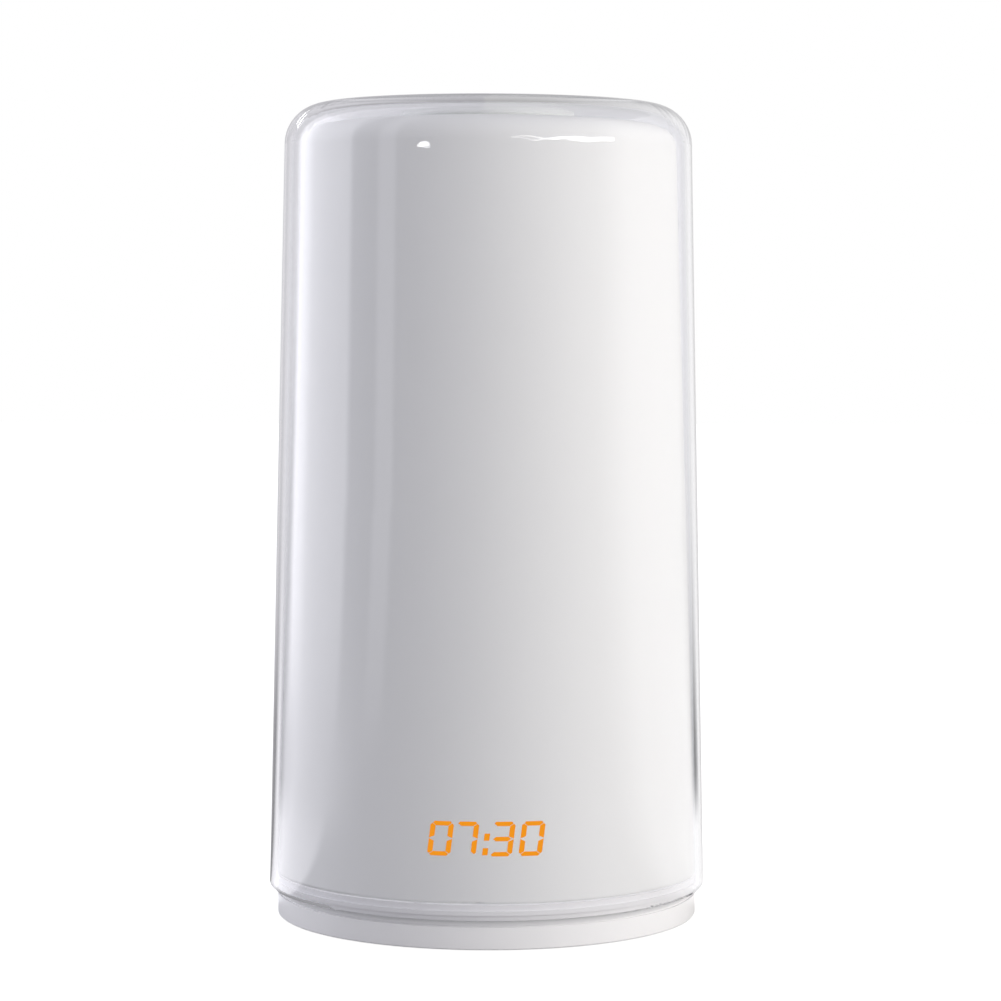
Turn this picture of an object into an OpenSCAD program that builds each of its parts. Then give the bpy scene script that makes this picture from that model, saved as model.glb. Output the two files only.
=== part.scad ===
// Sunrise alarm clock: a lamp in a tapered clear cover, with a time display low on its front.
// The origin is on the table under the middle of the lamp, +Z is up and the display faces -Y.

/* [Clear cover] */
// Outer diameter at the lower rim
cover_base_d = 120; // [116:1:126]
// Outer diameter where the rounded shoulder starts
cover_top_d = 111.4; // [108:0.2:114]
// Height of the flat top above the table
cover_top_z = 222.3; // [200:0.1:260]
// Height of the lower rim above the table
cover_rim_z = 8.1; // [7.4:0.1:8.8]
// Radius of the rounded shoulder
cover_shoulder_r = 11; // [8:0.5:14]
// Thickness of the side wall
cover_wall = 1.8; // [1.5:0.1:2]
// Thickness of the top
cover_top_wall = 2; // [1.6:0.1:2.4]

/* [Diffuser] */
// Outer diameter at the lower rim
shade_base_d = 115.4; // [115:0.1:115.8]
// Outer diameter where the rounded shoulder starts
shade_top_d = 102.8; // [98:0.2:104]
// Gap between the diffuser's top and the inside of the cover's top
shade_top_gap = 3.3; // [2.5:0.1:5]
// Radius of the rounded shoulder
shade_shoulder_r = 6.5; // [5:0.5:9]
// Wall thickness
shade_wall = 2; // [1.6:0.1:2.2]

/* [Base] */
// Outer diameter of the skirt
skirt_d = 115.5; // [114:0.5:116]
// Height of the skirt's top edge
skirt_top_z = 6.2; // [5.8:0.1:6.8]
// Width of the groove above the skirt
groove_w = 0.5; // [0.3:0.1:0.7]
// Height of the deck, which the diffuser stands on
deck_z = 12.1; // [11.5:0.1:13]
// Thickness of the deck
deck_t = 2.1; // [1.8:0.1:2.4]
// Thickness of the bottom plate
plate_t = 2; // [1.8:0.1:2.4]
// Diameter of a rubber foot
foot_d = 12; // [8:0.5:12]
// Distance of the feet from the middle
foot_place_r = 46; // [44:0.5:46.5]

/* [Display] */
// Height of a digit
digit_h = 9; // [7:0.1:10]
// Width of a digit
digit_w = 6; // [5:0.1:6.2]
// Distance between the two hour digits
hour_pitch = 6.5; // [6.4:0.1:7.2]
// Distance between the two minute digits
minute_pitch = 7.7; // [6.8:0.1:7.8]
// Distance between the digits on either side of the colon
colon_pitch = 9.3; // [9:0.1:10]
// Slant of the digits, in degrees
digit_slant = 7; // [0:0.5:12]
// Height of the middle of the digits above the table
digit_z = 29.4; // [28:0.1:31]
// Sideways place of the middle of the time
digit_mid_x = -0.7; // [-1:0.1:1]
// Width of an upright stroke
upright_w = 1.34; // [1:0.02:1.6]
// Height of a level stroke
level_h = 1.15; // [0.9:0.05:1.4]

/* [Controls] */
// Diameter of the snooze button
snooze_d = 19.2; // [16:0.2:20]
// Travel of the snooze button
snooze_travel = 0.8; // [0.4:0.1:1]
// Travel of a ring key
key_travel = 0.5; // [0.3:0.1:0.8]
// Height of the buttons above the bezel
button_rise = 0.6; // [0.4:0.1:0.7]
// Width of the spokes between the ring keys
spoke_w = 3; // [3:0.1:4]

/* [Light column] */
// Width of the six-sided column, flat to flat
column_af = 22; // [20:0.5:22]
// Number of lamps on each of the six strips
chips_per_strip = 9; // [5:1:11]

/* [Power and battery] */
// Diameter of the power inlet's centre pin
inlet_pin_d = 2.1; // [1.3:0.1:2.5]
// Diameter of the coin cell
cell_d = 20; // [16:0.1:20]
// Thickness of the coin cell
cell_t = 3.2; // [1.6:0.1:3.2]

/* [Hidden] */
$fn = 96;
eps = 0.01;
front = -90;

// Cover and diffuser
cover_base_r = cover_base_d / 2;
cover_top_r = cover_top_d / 2;
shade_base_r = shade_base_d / 2;
shade_top_r = shade_top_d / 2;
cover_inner_top_z = cover_top_z - cover_top_wall;
shade_top_z = cover_inner_top_z - shade_top_gap;
shade_inner_top_z = shade_top_z - shade_wall;

// Base
skirt_r = skirt_d / 2;
skirt_bottom_z = 0.3;
skirt_edge_r = 0.4;
skirt_wall = 2.2;
skirt_inner_r = skirt_r - skirt_wall;
groove_depth = 0.6;
collar_r = skirt_r - 0.15;
ridge_r = cover_base_r - cover_wall - 0.1;
ridge_z = cover_rim_z + 1.3;
ridge_h = 1.2;
deck_bottom_z = deck_z - deck_t;
deck_r = skirt_inner_r - 0.1;
ledge_r = 53;
ledge_t = 1.5;
plate_z = 0.9;
plate_top_z = plate_z + plate_t;
plate_r = skirt_inner_r - 0.25;
foot_angles = [50, 130, 230, 310];
foot_recess = 1.1;

// Screws
screw_r = 1.3;
screw_head_r = 2.6;
screw_head_h = 1.4;
screw_gap = 0.2;
standoff_af = 5.5;
standoff_thread_l = 6;
plate_screw_angles = [0, 75, 105, 180, 270];
plate_screw_place_r = 47;

// Power inlet, in a pocket under the base with a cable channel to the rear
pocket_w = 14;
pocket_y = 24;
pocket_end_y = 50;
pocket_wall = 1.5;
pocket_wall_end_y = 52.2;
channel_w = 6;
channel_h = 5.2;
inlet_y = 33;
inlet_bore_r = 3.15;
inlet_w = 9;
inlet_h = 11.8;
inlet_end_t = 2;
inlet_pin_recess = 0.8;
inlet_hole_r = 4;
inlet_pin_r = inlet_pin_d / 2;
inlet_rivet_r = 2;

// Coin cell under a quarter-turn cap
cell_x = -31;
cell_y = 14;
cap_r = 12;
cap_gap = 0.3;
cap_tab_reach = 1.3;
cap_tab_t = 1;
cap_tab_angle = 30;
cap_open_angle = 45;
cap_h = plate_t + 0.2 + cap_tab_t;
cup_r = 14.8;
cup_wall = 1.1;
cell_z = plate_z + cap_h + 0.3;

// Speaker, which faces down through the bottom plate
speaker_y = -16;
speaker_r = 20;
speaker_hole_r = 18;
speaker_z = plate_top_z + 0.1;
grille_t = 0.6;
magnet_r = 12;
magnet_z = 12.6;
magnet_h = 6;

// Main board, above the deck
board_t = 1.6;
board_z = deck_z + inlet_h + 0.1;
board_top_z = board_z + board_t;
board_r = 42;
board_front_y = -39;
board_posts = [[-29, -25], [29, -25], [-29, 25], [29, 25]];

// Chassis: the inner frame that carries the display and the light column
chassis_rim_r = shade_base_r - shade_wall - 0.45;
chassis_rim_wall = 2;
chassis_rim_z = deck_z + 4;
chassis_flange_t = 2;
chassis_r = 47;
chassis_wall = 2;
chassis_top_z = 46;
chassis_deck_r = 50;
chassis_screw_angles = [40, 140, 220, 320];
chassis_screw_place_r = 49.6;
chassis_head_r = 2.2;
chassis_nut_af = 5;
chassis_nut_h = 2;
rail_x = 19.5;
rail_w = 5;
rail_y = -45.4;
gusset_angles = [0, 20, 60, 90, 120, 160, 180, 200, 340];
gusset_t = 1.6;
gusset_top_z = 28;
deck_rib_angles = [30, 90, 150, 210, 330];
deck_rib_h = 3;
vent_w = 30;
vent_z = [30, 40];
reflector_r = 53.2;
reflector_t = 1.2;
reflector_flat_r = 30;
reflector_rise = 4;
reflector_lip = 1.5;

// Display
locator_angles = [30 : 60 : 330];
locator_w = 3;
locator_gap = 0.1;
locator_z = deck_z + 1.6;
window_r = 56.2;
guide_r = window_r - 0.2;
guide_back_y = rail_y - board_t;
shroud_w = 36;
shroud_h = 13.4;
window_w = shroud_w + 1.2;
window_top_z = digit_z + shroud_h / 2 + 0.8;
panel_w = 2 * (rail_x + rail_w) - 1;
panel_h = 20;
corner_cut = 0.95;
segment_gap = 0.09;
dot_w = 1.4;
dot_h = 1.85;
colon_shift = 0.7;
dot_places = [0.5, (dot_h - digit_h) / 2 + 0.3];
digit_places = [
    digit_mid_x - colon_pitch / 2 - hour_pitch,
    digit_mid_x - colon_pitch / 2,
    digit_mid_x + colon_pitch / 2,
    digit_mid_x + colon_pitch / 2 + minute_pitch
];
// Segments run top, upper right, lower right, bottom, lower left, upper left, middle
lit_segments = [
    [1, 1, 1, 1, 1, 1, 0],
    [1, 1, 1, 0, 0, 0, 0],
    [1, 1, 1, 1, 0, 0, 1],
    [1, 1, 1, 1, 1, 1, 0]
];

// Light column
column_wall = 2;
column_inner_af = column_af - 2 * column_wall;
column_corner_r = column_af / sqrt(3) - 0.5;
spigot_af = column_inner_af - 0.3;
spigot_h = 6;
column_z = chassis_top_z;
housing_z = shade_inner_top_z - 11;
column_h = housing_z - column_z;
strip_w = 10;
strip_t = 0.5;
strip_end_gap = 6;
strip_h = column_h - 2 * strip_end_gap;
chip_w = 5;
chip_t = 1.5;
chip_cup_r = 2.1;
chip_cup_depth = 0.4;
rod_r = 2;
nut_af = 7;
nut_h = 3.2;
rod_z = chassis_top_z - 6.5;
rod_top_z = housing_z + 6.5;
socket_floor = 2;
cable_w = 8;
cable_t = 1;
cable_y = 5.7;

// Controls
housing_r = 24;
housing_floor_t = 2;
housing_wall = 2;
neck_tube_r = 20.4;
neck_tube_wall = 1;
neck_tube_inner_r = neck_tube_r - neck_tube_wall;
top_hole_r = neck_tube_r + 0.2;
bezel_flange_r = 22;
bezel_flange_t = 1;
bezel_top_z = cover_top_z + bezel_flange_t;
bezel_z = cover_top_z - 1;
control_board_r = 19;
control_board_top_z = shade_inner_top_z;
control_board_z = control_board_top_z - board_t;
post_place_r = 15;
post_angles = [45, 135, 225, 315];
post_r = 2.6;
small_screw_r = 0.95;
small_head_r = 1.9;
button_gap = 0.3;
button_flange_t = 0.8;
button_flange_top_z = bezel_z - 0.2;
button_flange_z = button_flange_top_z - button_flange_t;
button_top_z = bezel_top_z + button_rise;
snooze_r = snooze_d / 2;
ring_inner_r = snooze_r + 2;
ring_outer_r = 18.5;
flange_reach = 0.6;
stem_r = 2;
snooze_stem_r = 2.5;
stem_z = control_board_top_z + 2;
guide_plate_t = 1;
guide_plate_z = button_flange_z - max(snooze_travel, key_travel) - 0.2 - guide_plate_t;
guide_plate_r = neck_tube_inner_r - 0.2;
mark_depth = 0.25;
mark_l = 3;
mark_w = 0.6;
edge_round = 0.5;

// ---------------------------------------------------------------- helpers

// Half outline of a tumbler with a flat top: its side is tangent to the rounded shoulder.
module tumbler_outline(base_r, base_z, top_r, top_z, shoulder_r) {
    centre = [top_r - shoulder_r, top_z - shoulder_r];
    start = [base_r, base_z];
    reach = norm(centre - start);
    heading = atan2(centre.y - start.y, centre.x - start.x) - asin(shoulder_r / reach);
    side_l = sqrt(reach * reach - shoulder_r * shoulder_r);
    tangent = start + side_l * [cos(heading), sin(heading)];
    polygon([[0, base_z], start, tangent, centre, [centre.x, top_z], [0, top_z]]);
    translate(centre) circle(r = shoulder_r);
}

// Turned shell between two tumblers, with a half-round lower rim.
module tumbler_shell(base_r, base_z, top_r, top_z, shoulder_r, wall, top_wall) {
    rim_r = wall / 2;
    rim_z = base_z + rim_r;
    inner_shoulder_r = shoulder_r - wall;
    rotate_extrude() {
        difference() {
            tumbler_outline(base_r, rim_z, top_r, top_z, shoulder_r);
            tumbler_outline(base_r - wall, rim_z - eps, top_r - wall, top_z - top_wall,
                inner_shoulder_r);
        }
        translate([base_r - rim_r, rim_z]) circle(r = rim_r, $fn = 32);
    }
}

// Flat ring from z upwards.
module tube(outer_r, inner_r, z, h) {
    translate([0, 0, z]) linear_extrude(h) difference() {
        circle(r = outer_r);
        circle(r = inner_r);
    }
}

// Upright disc or hole.
module disc(r, z, h) {
    translate([0, 0, z]) cylinder(r = r, h = h);
}

// Box centred on x, between two y values and two z values.
module slab(w, y0, y1, z0, z1) {
    translate([-w / 2, y0, z0]) cube([w, y1 - y0, z1 - z0]);
}

// Box from the origin along +X, centred on y, between two z values.
module slab_x(l, w, z0, z1) {
    translate([0, -w / 2, z0]) cube([l, w, z1 - z0]);
}

// Upright rib of thickness t whose outline is drawn in the XZ plane.
module rib(t) {
    translate([0, t / 2, 0]) rotate([90, 0, 0]) linear_extrude(t) children();
}

// Six-sided bar, flat to flat af, with its flats facing -Y and +Y.
module hex_bar(af, z, h) {
    translate([0, 0, z]) cylinder(r = af / sqrt(3), h = h, $fn = 6);
}

// Places its children at each angle on a circle.
module around(angles, place_r) {
    for (a = angles) rotate(a) translate([place_r, 0, 0]) children();
}

// Screw with its head below, standing up from z.
module screw_up(r, head_r, head_h, z, l) {
    disc(head_r, z, head_h);
    disc(r, z + head_h - eps, l + eps);
}

// Screw with its head above: the underside of the head is at z.
module screw_down(r, head_r, head_h, z, l) {
    disc(head_r, z, head_h);
    disc(r, z - l, l + eps);
}

// ---------------------------------------------------------------- cover and diffuser

module outer_cover() {
    color([0.92, 0.95, 0.97, 0.35]) difference() {
        tumbler_shell(cover_base_r, cover_rim_z, cover_top_r, cover_top_z, cover_shoulder_r,
            cover_wall, cover_top_wall);
        disc(top_hole_r, cover_inner_top_z - 1, cover_top_wall + 2);
    }
}

module diffuser() {
    color("white") difference() {
        union() {
            tumbler_shell(shade_base_r, deck_z, shade_top_r, shade_top_z, shade_shoulder_r,
                shade_wall, shade_wall);
            around(locator_angles, chassis_rim_r + locator_gap)
                slab_x(shade_wall * 0.6, locator_w, locator_z, chassis_rim_z);
        }
        disc(top_hole_r, shade_inner_top_z - 1, shade_wall + 2);
        window_channel();
    }
}

// Thin window in front of the digits, open below so that the diffuser drops over the display.
module window_channel() {
    intersection() {
        disc(window_r, deck_z - 1, window_top_z - deck_z + 1);
        slab(window_w, -skirt_r, -skirt_r / 2, 0, window_top_z + 1);
    }
}

module spacer_ring() {
    color("gainsboro") tube(top_hole_r + 3, top_hole_r, shade_top_z, shade_top_gap);
}

// ---------------------------------------------------------------- base

module base_outline() {
    groove_z = skirt_top_z + groove_w;
    translate([skirt_r - skirt_edge_r, skirt_bottom_z + skirt_edge_r])
        circle(r = skirt_edge_r, $fn = 48);
    polygon([
        [skirt_inner_r, skirt_bottom_z],
        [skirt_r - skirt_edge_r, skirt_bottom_z],
        [skirt_r - skirt_edge_r, skirt_bottom_z + skirt_edge_r],
        [skirt_r, skirt_bottom_z + skirt_edge_r],
        [skirt_r, skirt_top_z],
        [skirt_r - groove_depth, skirt_top_z],
        [skirt_r - groove_depth, groove_z],
        [collar_r, groove_z],
        [collar_r, ridge_z],
        [ridge_r, ridge_z],
        [ridge_r, ridge_z + ridge_h],
        [collar_r, ridge_z + ridge_h],
        [collar_r, deck_z],
        [skirt_inner_r, deck_z],
        [skirt_inner_r, deck_bottom_z],
        [ledge_r, deck_bottom_z],
        [ledge_r, deck_bottom_z - ledge_t],
        [skirt_inner_r, deck_bottom_z - ledge_t]
    ]);
}

// Outer ring of the base: skirt, groove, collar, a ridge that centres the cover and a ledge.
module base_housing() {
    color("white") difference() {
        rotate_extrude() base_outline();
        slab(channel_w, pocket_end_y, skirt_r + 1, 0, channel_h);
    }
}

// Flat deck on the ring's ledge; the parts above and below are screwed to it.
module base_deck() {
    color("whitesmoke") translate([0, 0, deck_bottom_z]) linear_extrude(deck_t) difference() {
        circle(r = deck_r);
        translate([0, inlet_y]) circle(r = inlet_hole_r);
        translate([0, speaker_y]) circle(r = speaker_hole_r - 2);
        around(plate_screw_angles, plate_screw_place_r) circle(r = screw_r);
        around(chassis_screw_angles, chassis_screw_place_r) circle(r = screw_r);
        for (p = board_posts) translate(p) circle(r = screw_r);
    }
}

// Walls of the pocket for the plug, open below and towards the cable channel.
module inlet_pocket() {
    color("white") difference() {
        slab(pocket_w + 2 * pocket_wall, pocket_y - pocket_wall, pocket_wall_end_y,
            plate_top_z, deck_bottom_z);
        slab(pocket_w, pocket_y, pocket_wall_end_y + 1, plate_top_z - 1, deck_bottom_z + 1);
    }
}

// Six-sided threaded spacer with its stud in the deck; it stands on the deck or hangs below it.
module standoff(l) {
    difference() {
        cylinder(r = standoff_af / sqrt(3), h = l, $fn = 6);
        translate([0, 0, l - standoff_thread_l]) cylinder(r = screw_r, h = standoff_thread_l + 1);
    }
    translate([0, 0, -deck_t]) cylinder(r = screw_r, h = deck_t + eps);
}

module plate_standoffs() {
    color("goldenrod") around(plate_screw_angles, plate_screw_place_r)
        translate([0, 0, deck_bottom_z]) mirror([0, 0, 1]) standoff(deck_bottom_z - plate_top_z);
}

module board_standoffs() {
    color("goldenrod") for (p = board_posts) translate([p.x, p.y, deck_z])
        standoff(board_z - deck_z);
}

module bottom_plate() {
    color("whitesmoke") difference() {
        disc(plate_r, plate_z, plate_t);
        around(foot_angles, foot_place_r) disc(foot_d / 2 + 0.1, plate_z - 1, foot_recess + 1);
        around(plate_screw_angles, plate_screw_place_r) {
            disc(screw_r + screw_gap, plate_z - 1, plate_t + 2);
            disc(screw_head_r + screw_gap, plate_z - 1, screw_head_h + 1);
        }
        slab(pocket_w, pocket_y, pocket_end_y, plate_z - 1, plate_top_z + 1);
        slab(channel_w, pocket_end_y - 1, skirt_r, plate_z - 1, plate_top_z + 1);
        translate([0, speaker_y, 0]) {
            disc(speaker_hole_r - 2, plate_z - 1, plate_t + 2);
            disc(speaker_hole_r, plate_top_z - grille_t, plate_t);
        }
        translate([cell_x, cell_y, 0]) {
            disc(cap_r + cap_gap, plate_z - 1, plate_t + 2);
            rotate(cap_open_angle) cap_tabs(cap_gap, plate_z - 1, plate_t + 2);
        }
    }
}

module rubber_feet() {
    foot_r = foot_d / 2;
    color("dimgray") around(foot_angles, foot_place_r) rotate_extrude() polygon([
        [0, 0], [foot_r - edge_round, 0], [foot_r, edge_round],
        [foot_r, plate_z + foot_recess], [0, plate_z + foot_recess]
    ]);
}

module housing_screws() {
    color("silver") around(plate_screw_angles, plate_screw_place_r) difference() {
        screw_up(screw_r, screw_head_r, screw_head_h, plate_z, 6);
        cross_slot(plate_z - eps);
    }
}

// Cross recess of a screw head, cut upwards from z.
module cross_slot(z) {
    slot_w = 0.6;
    slot_l = 2.6;
    translate([-slot_l / 2, -slot_w / 2, z]) cube([slot_l, slot_w, 0.8]);
    translate([-slot_w / 2, -slot_l / 2, z]) cube([slot_w, slot_l, 0.8]);
}

// ---------------------------------------------------------------- chassis and column

module chassis() {
    wall_z = deck_z + chassis_flange_t;
    color("lightgray") difference() {
        union() {
            tube(chassis_rim_r, chassis_r - 5, deck_z, chassis_flange_t);
            tube(chassis_rim_r, chassis_rim_r - chassis_rim_wall, deck_z, chassis_rim_z - deck_z);
            tube(chassis_r, chassis_r - chassis_wall, wall_z - eps, chassis_top_z - wall_z);
            disc(chassis_deck_r, chassis_top_z - 2, 2);
            for (side = [-1, 1]) translate([side * (rail_x + rail_w / 2), 0, 0])
                slab(rail_w, rail_y, rail_y + 5, wall_z - eps, chassis_top_z - 1);
            hex_bar(spigot_af, chassis_top_z - eps, spigot_h);
            around(gusset_angles, 0) gusset();
            around(deck_rib_angles, 0) deck_rib();
        }
        slab(2 * rail_x, -chassis_r - 2, -chassis_r / 2, wall_z, chassis_top_z - 2);
        slab(2 * (rail_x + rail_w), -chassis_deck_r, rail_y, chassis_rim_z, chassis_top_z - 2);
        slab(vent_w, vent_w, chassis_deck_r, vent_z[0], vent_z[1]);
        around(chassis_screw_angles, chassis_screw_place_r)
            disc(screw_r + screw_gap, deck_z - 1, chassis_flange_t + 2);
        disc(rod_r + screw_gap, chassis_top_z - 3, spigot_h + 4);
        slab(cable_w + 1, cable_y - cable_t, cable_y + cable_t, chassis_top_z - 3,
            chassis_top_z + spigot_h + 1);
    }
}

// Tapered rib outside the drum, from the rim up the wall.
module gusset() {
    root_r = chassis_r - chassis_wall / 2;
    foot_z = deck_z + chassis_flange_t / 2;
    edge_r = chassis_rim_r - chassis_rim_wall / 2;
    rib(gusset_t) polygon([
        [root_r, foot_z], [edge_r, foot_z], [edge_r, chassis_rim_z - 1],
        [chassis_r + 1, gusset_top_z], [root_r, gusset_top_z]
    ]);
}

// Rib under the top of the drum, deeper towards the tie rod in its middle.
module deck_rib() {
    under_z = chassis_top_z - 1;
    rib(gusset_t) polygon([
        [nut_af, under_z - deck_rib_h], [chassis_r / 2, under_z - deck_rib_h],
        [chassis_r - 1, under_z - 2], [chassis_r - 1, under_z], [nut_af, under_z]
    ]);
}

module chassis_screws() {
    head_z = deck_z + chassis_flange_t;
    color("silver") around(chassis_screw_angles, chassis_screw_place_r) difference() {
        screw_down(screw_r, chassis_head_r, screw_head_h, head_z, 6.5);
        cross_slot(head_z + screw_head_h - 0.8 + eps);
    }
}

module chassis_nuts() {
    color("silver") around(chassis_screw_angles, chassis_screw_place_r) difference() {
        hex_bar(chassis_nut_af, deck_bottom_z - chassis_nut_h, chassis_nut_h);
        disc(screw_r, deck_bottom_z - chassis_nut_h - 1, chassis_nut_h + 2);
    }
}

// Shallow dish that throws the column's light outwards, with a hole for the column.
module reflector_disc() {
    rim_z = chassis_top_z + reflector_rise;
    color("white") difference() {
        rotate_extrude() polygon([
            [0, chassis_top_z], [reflector_flat_r, chassis_top_z], [reflector_r, rim_z],
            [reflector_r, rim_z + reflector_t + reflector_lip],
            [reflector_r - reflector_t, rim_z + reflector_t + reflector_lip],
            [reflector_r - reflector_t, rim_z + reflector_t],
            [reflector_flat_r, chassis_top_z + reflector_t], [0, chassis_top_z + reflector_t]
        ]);
        hex_bar(column_af + 0.4, chassis_top_z - 1, reflector_t + 2);
    }
}

// Drawn aluminium tube: six flats for the strips, with turned corners between them.
module light_column() {
    color("silver") difference() {
        intersection() {
            hex_bar(column_af, column_z, column_h);
            disc(column_corner_r, column_z, column_h);
        }
        hex_bar(column_inner_af, column_z - 1, column_h + 2);
    }
}

// Places its children on the six flats of the column, facing outwards along +Y.
module on_flats() {
    for (i = [0 : 5]) rotate(60 * i) translate([0, column_af / 2, 0]) children();
}

module led_strips() {
    color("white") on_flats()
        slab(strip_w, 0, strip_t, column_z + strip_end_gap, column_z + strip_end_gap + strip_h);
}

// Square lamps with a round cup of phosphor in the front.
module led_chips() {
    chip_step = strip_h / chips_per_strip;
    color("khaki") on_flats() for (k = [0 : chips_per_strip - 1])
        translate([0, strip_t, column_z + strip_end_gap + chip_step * (k + 0.5)]) difference() {
            slab(chip_w, 0, chip_t, -chip_w / 2, chip_w / 2);
            translate([0, chip_t - chip_cup_depth, 0]) rotate([-90, 0, 0])
                cylinder(r = chip_cup_r, h = 1, $fn = 24);
        }
}

module tie_rod() {
    color("silver") disc(rod_r, rod_z, rod_top_z - rod_z);
}

module tie_rod_nuts() {
    color("goldenrod") for (z = [chassis_top_z - 2 - nut_h, housing_z + housing_floor_t])
        difference() {
            hex_bar(nut_af, z, nut_h);
            disc(rod_r, z - 1, nut_h + 2);
        }
}

module column_cable() {
    color("gray") slab(cable_w, cable_y - cable_t / 2, cable_y + cable_t / 2,
        board_top_z + socket_floor, control_board_z);
}

// ---------------------------------------------------------------- display

// Corner points of one segment, before the slant, from the digit's lower left corner.
function segment(i) =
    let (w = digit_w, h = digit_h, u = upright_w, l = level_h, c = corner_cut,
        m = h / 2, g = segment_gap)
    i == 0 ? [[c, h], [w - c, h], [w - c / 2 - g, h - c / 2], [w - u - g, h - l],
        [u + g, h - l], [c / 2 + g, h - c / 2]] :
    i == 1 ? [[w, h - c], [w, m + g], [w - u, m + l / 2 + g], [w - u, h - l - g],
        [w - c / 2, h - c / 2 - g]] :
    i == 2 ? [[w, m - g], [w, c], [w - c / 2, c / 2 + g], [w - u, l + g],
        [w - u, m - l / 2 - g]] :
    i == 3 ? [[c, 0], [c / 2 + g, c / 2], [u + g, l], [w - u - g, l],
        [w - c / 2 - g, c / 2], [w - c, 0]] :
    i == 4 ? [[0, c], [0, m - g], [u, m - l / 2 - g], [u, l + g], [c / 2, c / 2 + g]] :
    i == 5 ? [[0, m + g], [0, h - c], [c / 2, h - c / 2 - g], [u, h - l - g],
        [u, m + l / 2 + g]] :
    [[u / 2, m], [u + g, m + l / 2], [w - u - g, m + l / 2], [w - u / 2, m],
        [w - u - g, m - l / 2], [u + g, m - l / 2]];

// Slants points about the middle of the digit and moves them to a place along x.
function slanted(points, x) =
    [for (p = points) [x + p.x - digit_w / 2 + (p.y - digit_h / 2) * tan(digit_slant),
        digit_z + p.y - digit_h / 2]];

function dot_points(dz) =
    [for (p = [[-dot_w, -dot_h], [dot_w, -dot_h], [dot_w, dot_h], [-dot_w, dot_h]] / 2)
        [digit_mid_x + colon_shift + p.x + (dz + p.y) * tan(digit_slant), digit_z + dz + p.y]];

// One bar of clear plastic from the display board to the curved window.
module light_guide(points) {
    intersection() {
        translate([0, guide_back_y, 0]) rotate([90, 0, 0])
            linear_extrude(skirt_r) polygon(points);
        disc(guide_r, 0, window_top_z);
    }
}

module segment_guides(lit) {
    for (d = [0 : 3], i = [0 : 6])
        if (lit_segments[d][i] == lit) light_guide(slanted(segment(i), digit_places[d]));
}

module lit_light_guides() {
    color("darkorange") {
        segment_guides(1);
        for (dz = dot_places) light_guide(dot_points(dz));
    }
}

module dark_light_guides() {
    color("whitesmoke") segment_guides(0);
}

module display_shroud() {
    color("white") difference() {
        intersection() {
            slab(shroud_w, -skirt_r, guide_back_y, digit_z - shroud_h / 2,
                digit_z + shroud_h / 2);
            disc(guide_r, 0, window_top_z);
        }
        for (d = digit_places, i = [0 : 6]) light_guide(slanted(segment(i), d));
        for (dz = dot_places) light_guide(dot_points(dz));
    }
}

module display_board() {
    color("darkgreen") difference() {
        slab(panel_w, rail_y - board_t, rail_y, digit_z - panel_h / 2, digit_z + panel_h / 2);
        for (d = digit_places, i = [0 : 6]) led_seat(centre_of(slanted(segment(i), d)), 0.05);
        for (dz = dot_places) led_seat(centre_of(dot_points(dz)), 0.05);
    }
}

function centre_of(points) =
    [for (k = [0, 1]) (min([for (p = points) p[k]]) + max([for (p = points) p[k]])) / 2];

// Small lamp of 0.8 x 0.5 mm in the board's front face, behind a light guide.
module led_seat(at, gap) {
    led_w = 0.8 + gap;
    led_d = 0.5;
    translate([at.x - led_w / 2, guide_back_y - gap, at.y - led_w / 2])
        cube([led_w, led_d + gap, led_w]);
}

module display_leds() {
    color("orange") {
        for (d = digit_places, i = [0 : 6]) led_seat(centre_of(slanted(segment(i), d)), 0);
        for (dz = dot_places) led_seat(centre_of(dot_points(dz)), 0);
    }
}

module display_cable() {
    bend_z = board_top_z + 7;
    bend_y = -36;
    color("gray") {
        slab(12, rail_y, bend_y, bend_z, bend_z + 0.6);
        slab(12, bend_y - 0.6, bend_y, board_top_z + socket_floor, bend_z + eps);
    }
}

// ---------------------------------------------------------------- main board and inlet

module main_board() {
    color("darkgreen") difference() {
        intersection() {
            disc(board_r, board_z, board_t);
            slab(2 * board_r, board_front_y, board_r, board_z, board_top_z);
        }
        for (p = board_posts) translate(p) disc(screw_r + screw_gap, board_z - 1, board_t + 2);
    }
}

module board_screws() {
    color("silver") for (p = board_posts) translate(p)
        screw_down(screw_r, screw_head_r, screw_head_h, board_top_z, board_t + 5);
}

// Box standing on the main board, with its middle at a place.
module on_board(place, w, d, h) {
    translate([place.x - w / 2, place.y - d / 2, board_top_z]) cube([w, d, h]);
}

// Chip with rows of legs along its two long sides.
module chip(place, w, d, h, legs) {
    on_board(place, w, d, h);
    for (side = [-1, 1], i = [0 : legs - 1])
        on_board(place + [side * (w / 2 + 0.4), (i - (legs - 1) / 2) * 1.27], 1, 0.4, h / 2);
}

module board_chips() {
    color([0.12, 0.12, 0.13]) {
        chip([-12, -12], 10, 10, 1.4, 7);
        chip([14, -14], 4, 5, 1.5, 4);
        chip([14, -4], 4, 5, 1.5, 4);
        chip([-22, 8], 5, 6.5, 2.3, 3);
        chip([-22, -2], 5, 6.5, 2.3, 3);
        on_board([24, 10], 8, 8, 4);
    }
}

module board_capacitors() {
    can_r = 4;
    can_h = 10;
    color("steelblue") for (p = [[15, 24], [4, 30], [-12, 26]])
        translate([p.x, p.y, board_top_z]) rotate_extrude() polygon([
            [0, 0], [can_r, 0], [can_r, 1.2], [can_r - 0.4, 1.6], [can_r, 2],
            [can_r, can_h - 0.4], [can_r - 0.4, can_h], [can_r - 0.9, can_h],
            [can_r - 1.1, can_h - 0.3], [0, can_h - 0.3]
        ]);
}

// Socket with a slot from above for a flat cable.
module ribbon_socket(place, w, cable) {
    difference() {
        on_board(place, w, 5, 5);
        translate([place.x - cable.x / 2, place.y - cable.y / 2, board_top_z + socket_floor])
            cube([cable.x, cable.y, 5]);
    }
}

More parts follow.
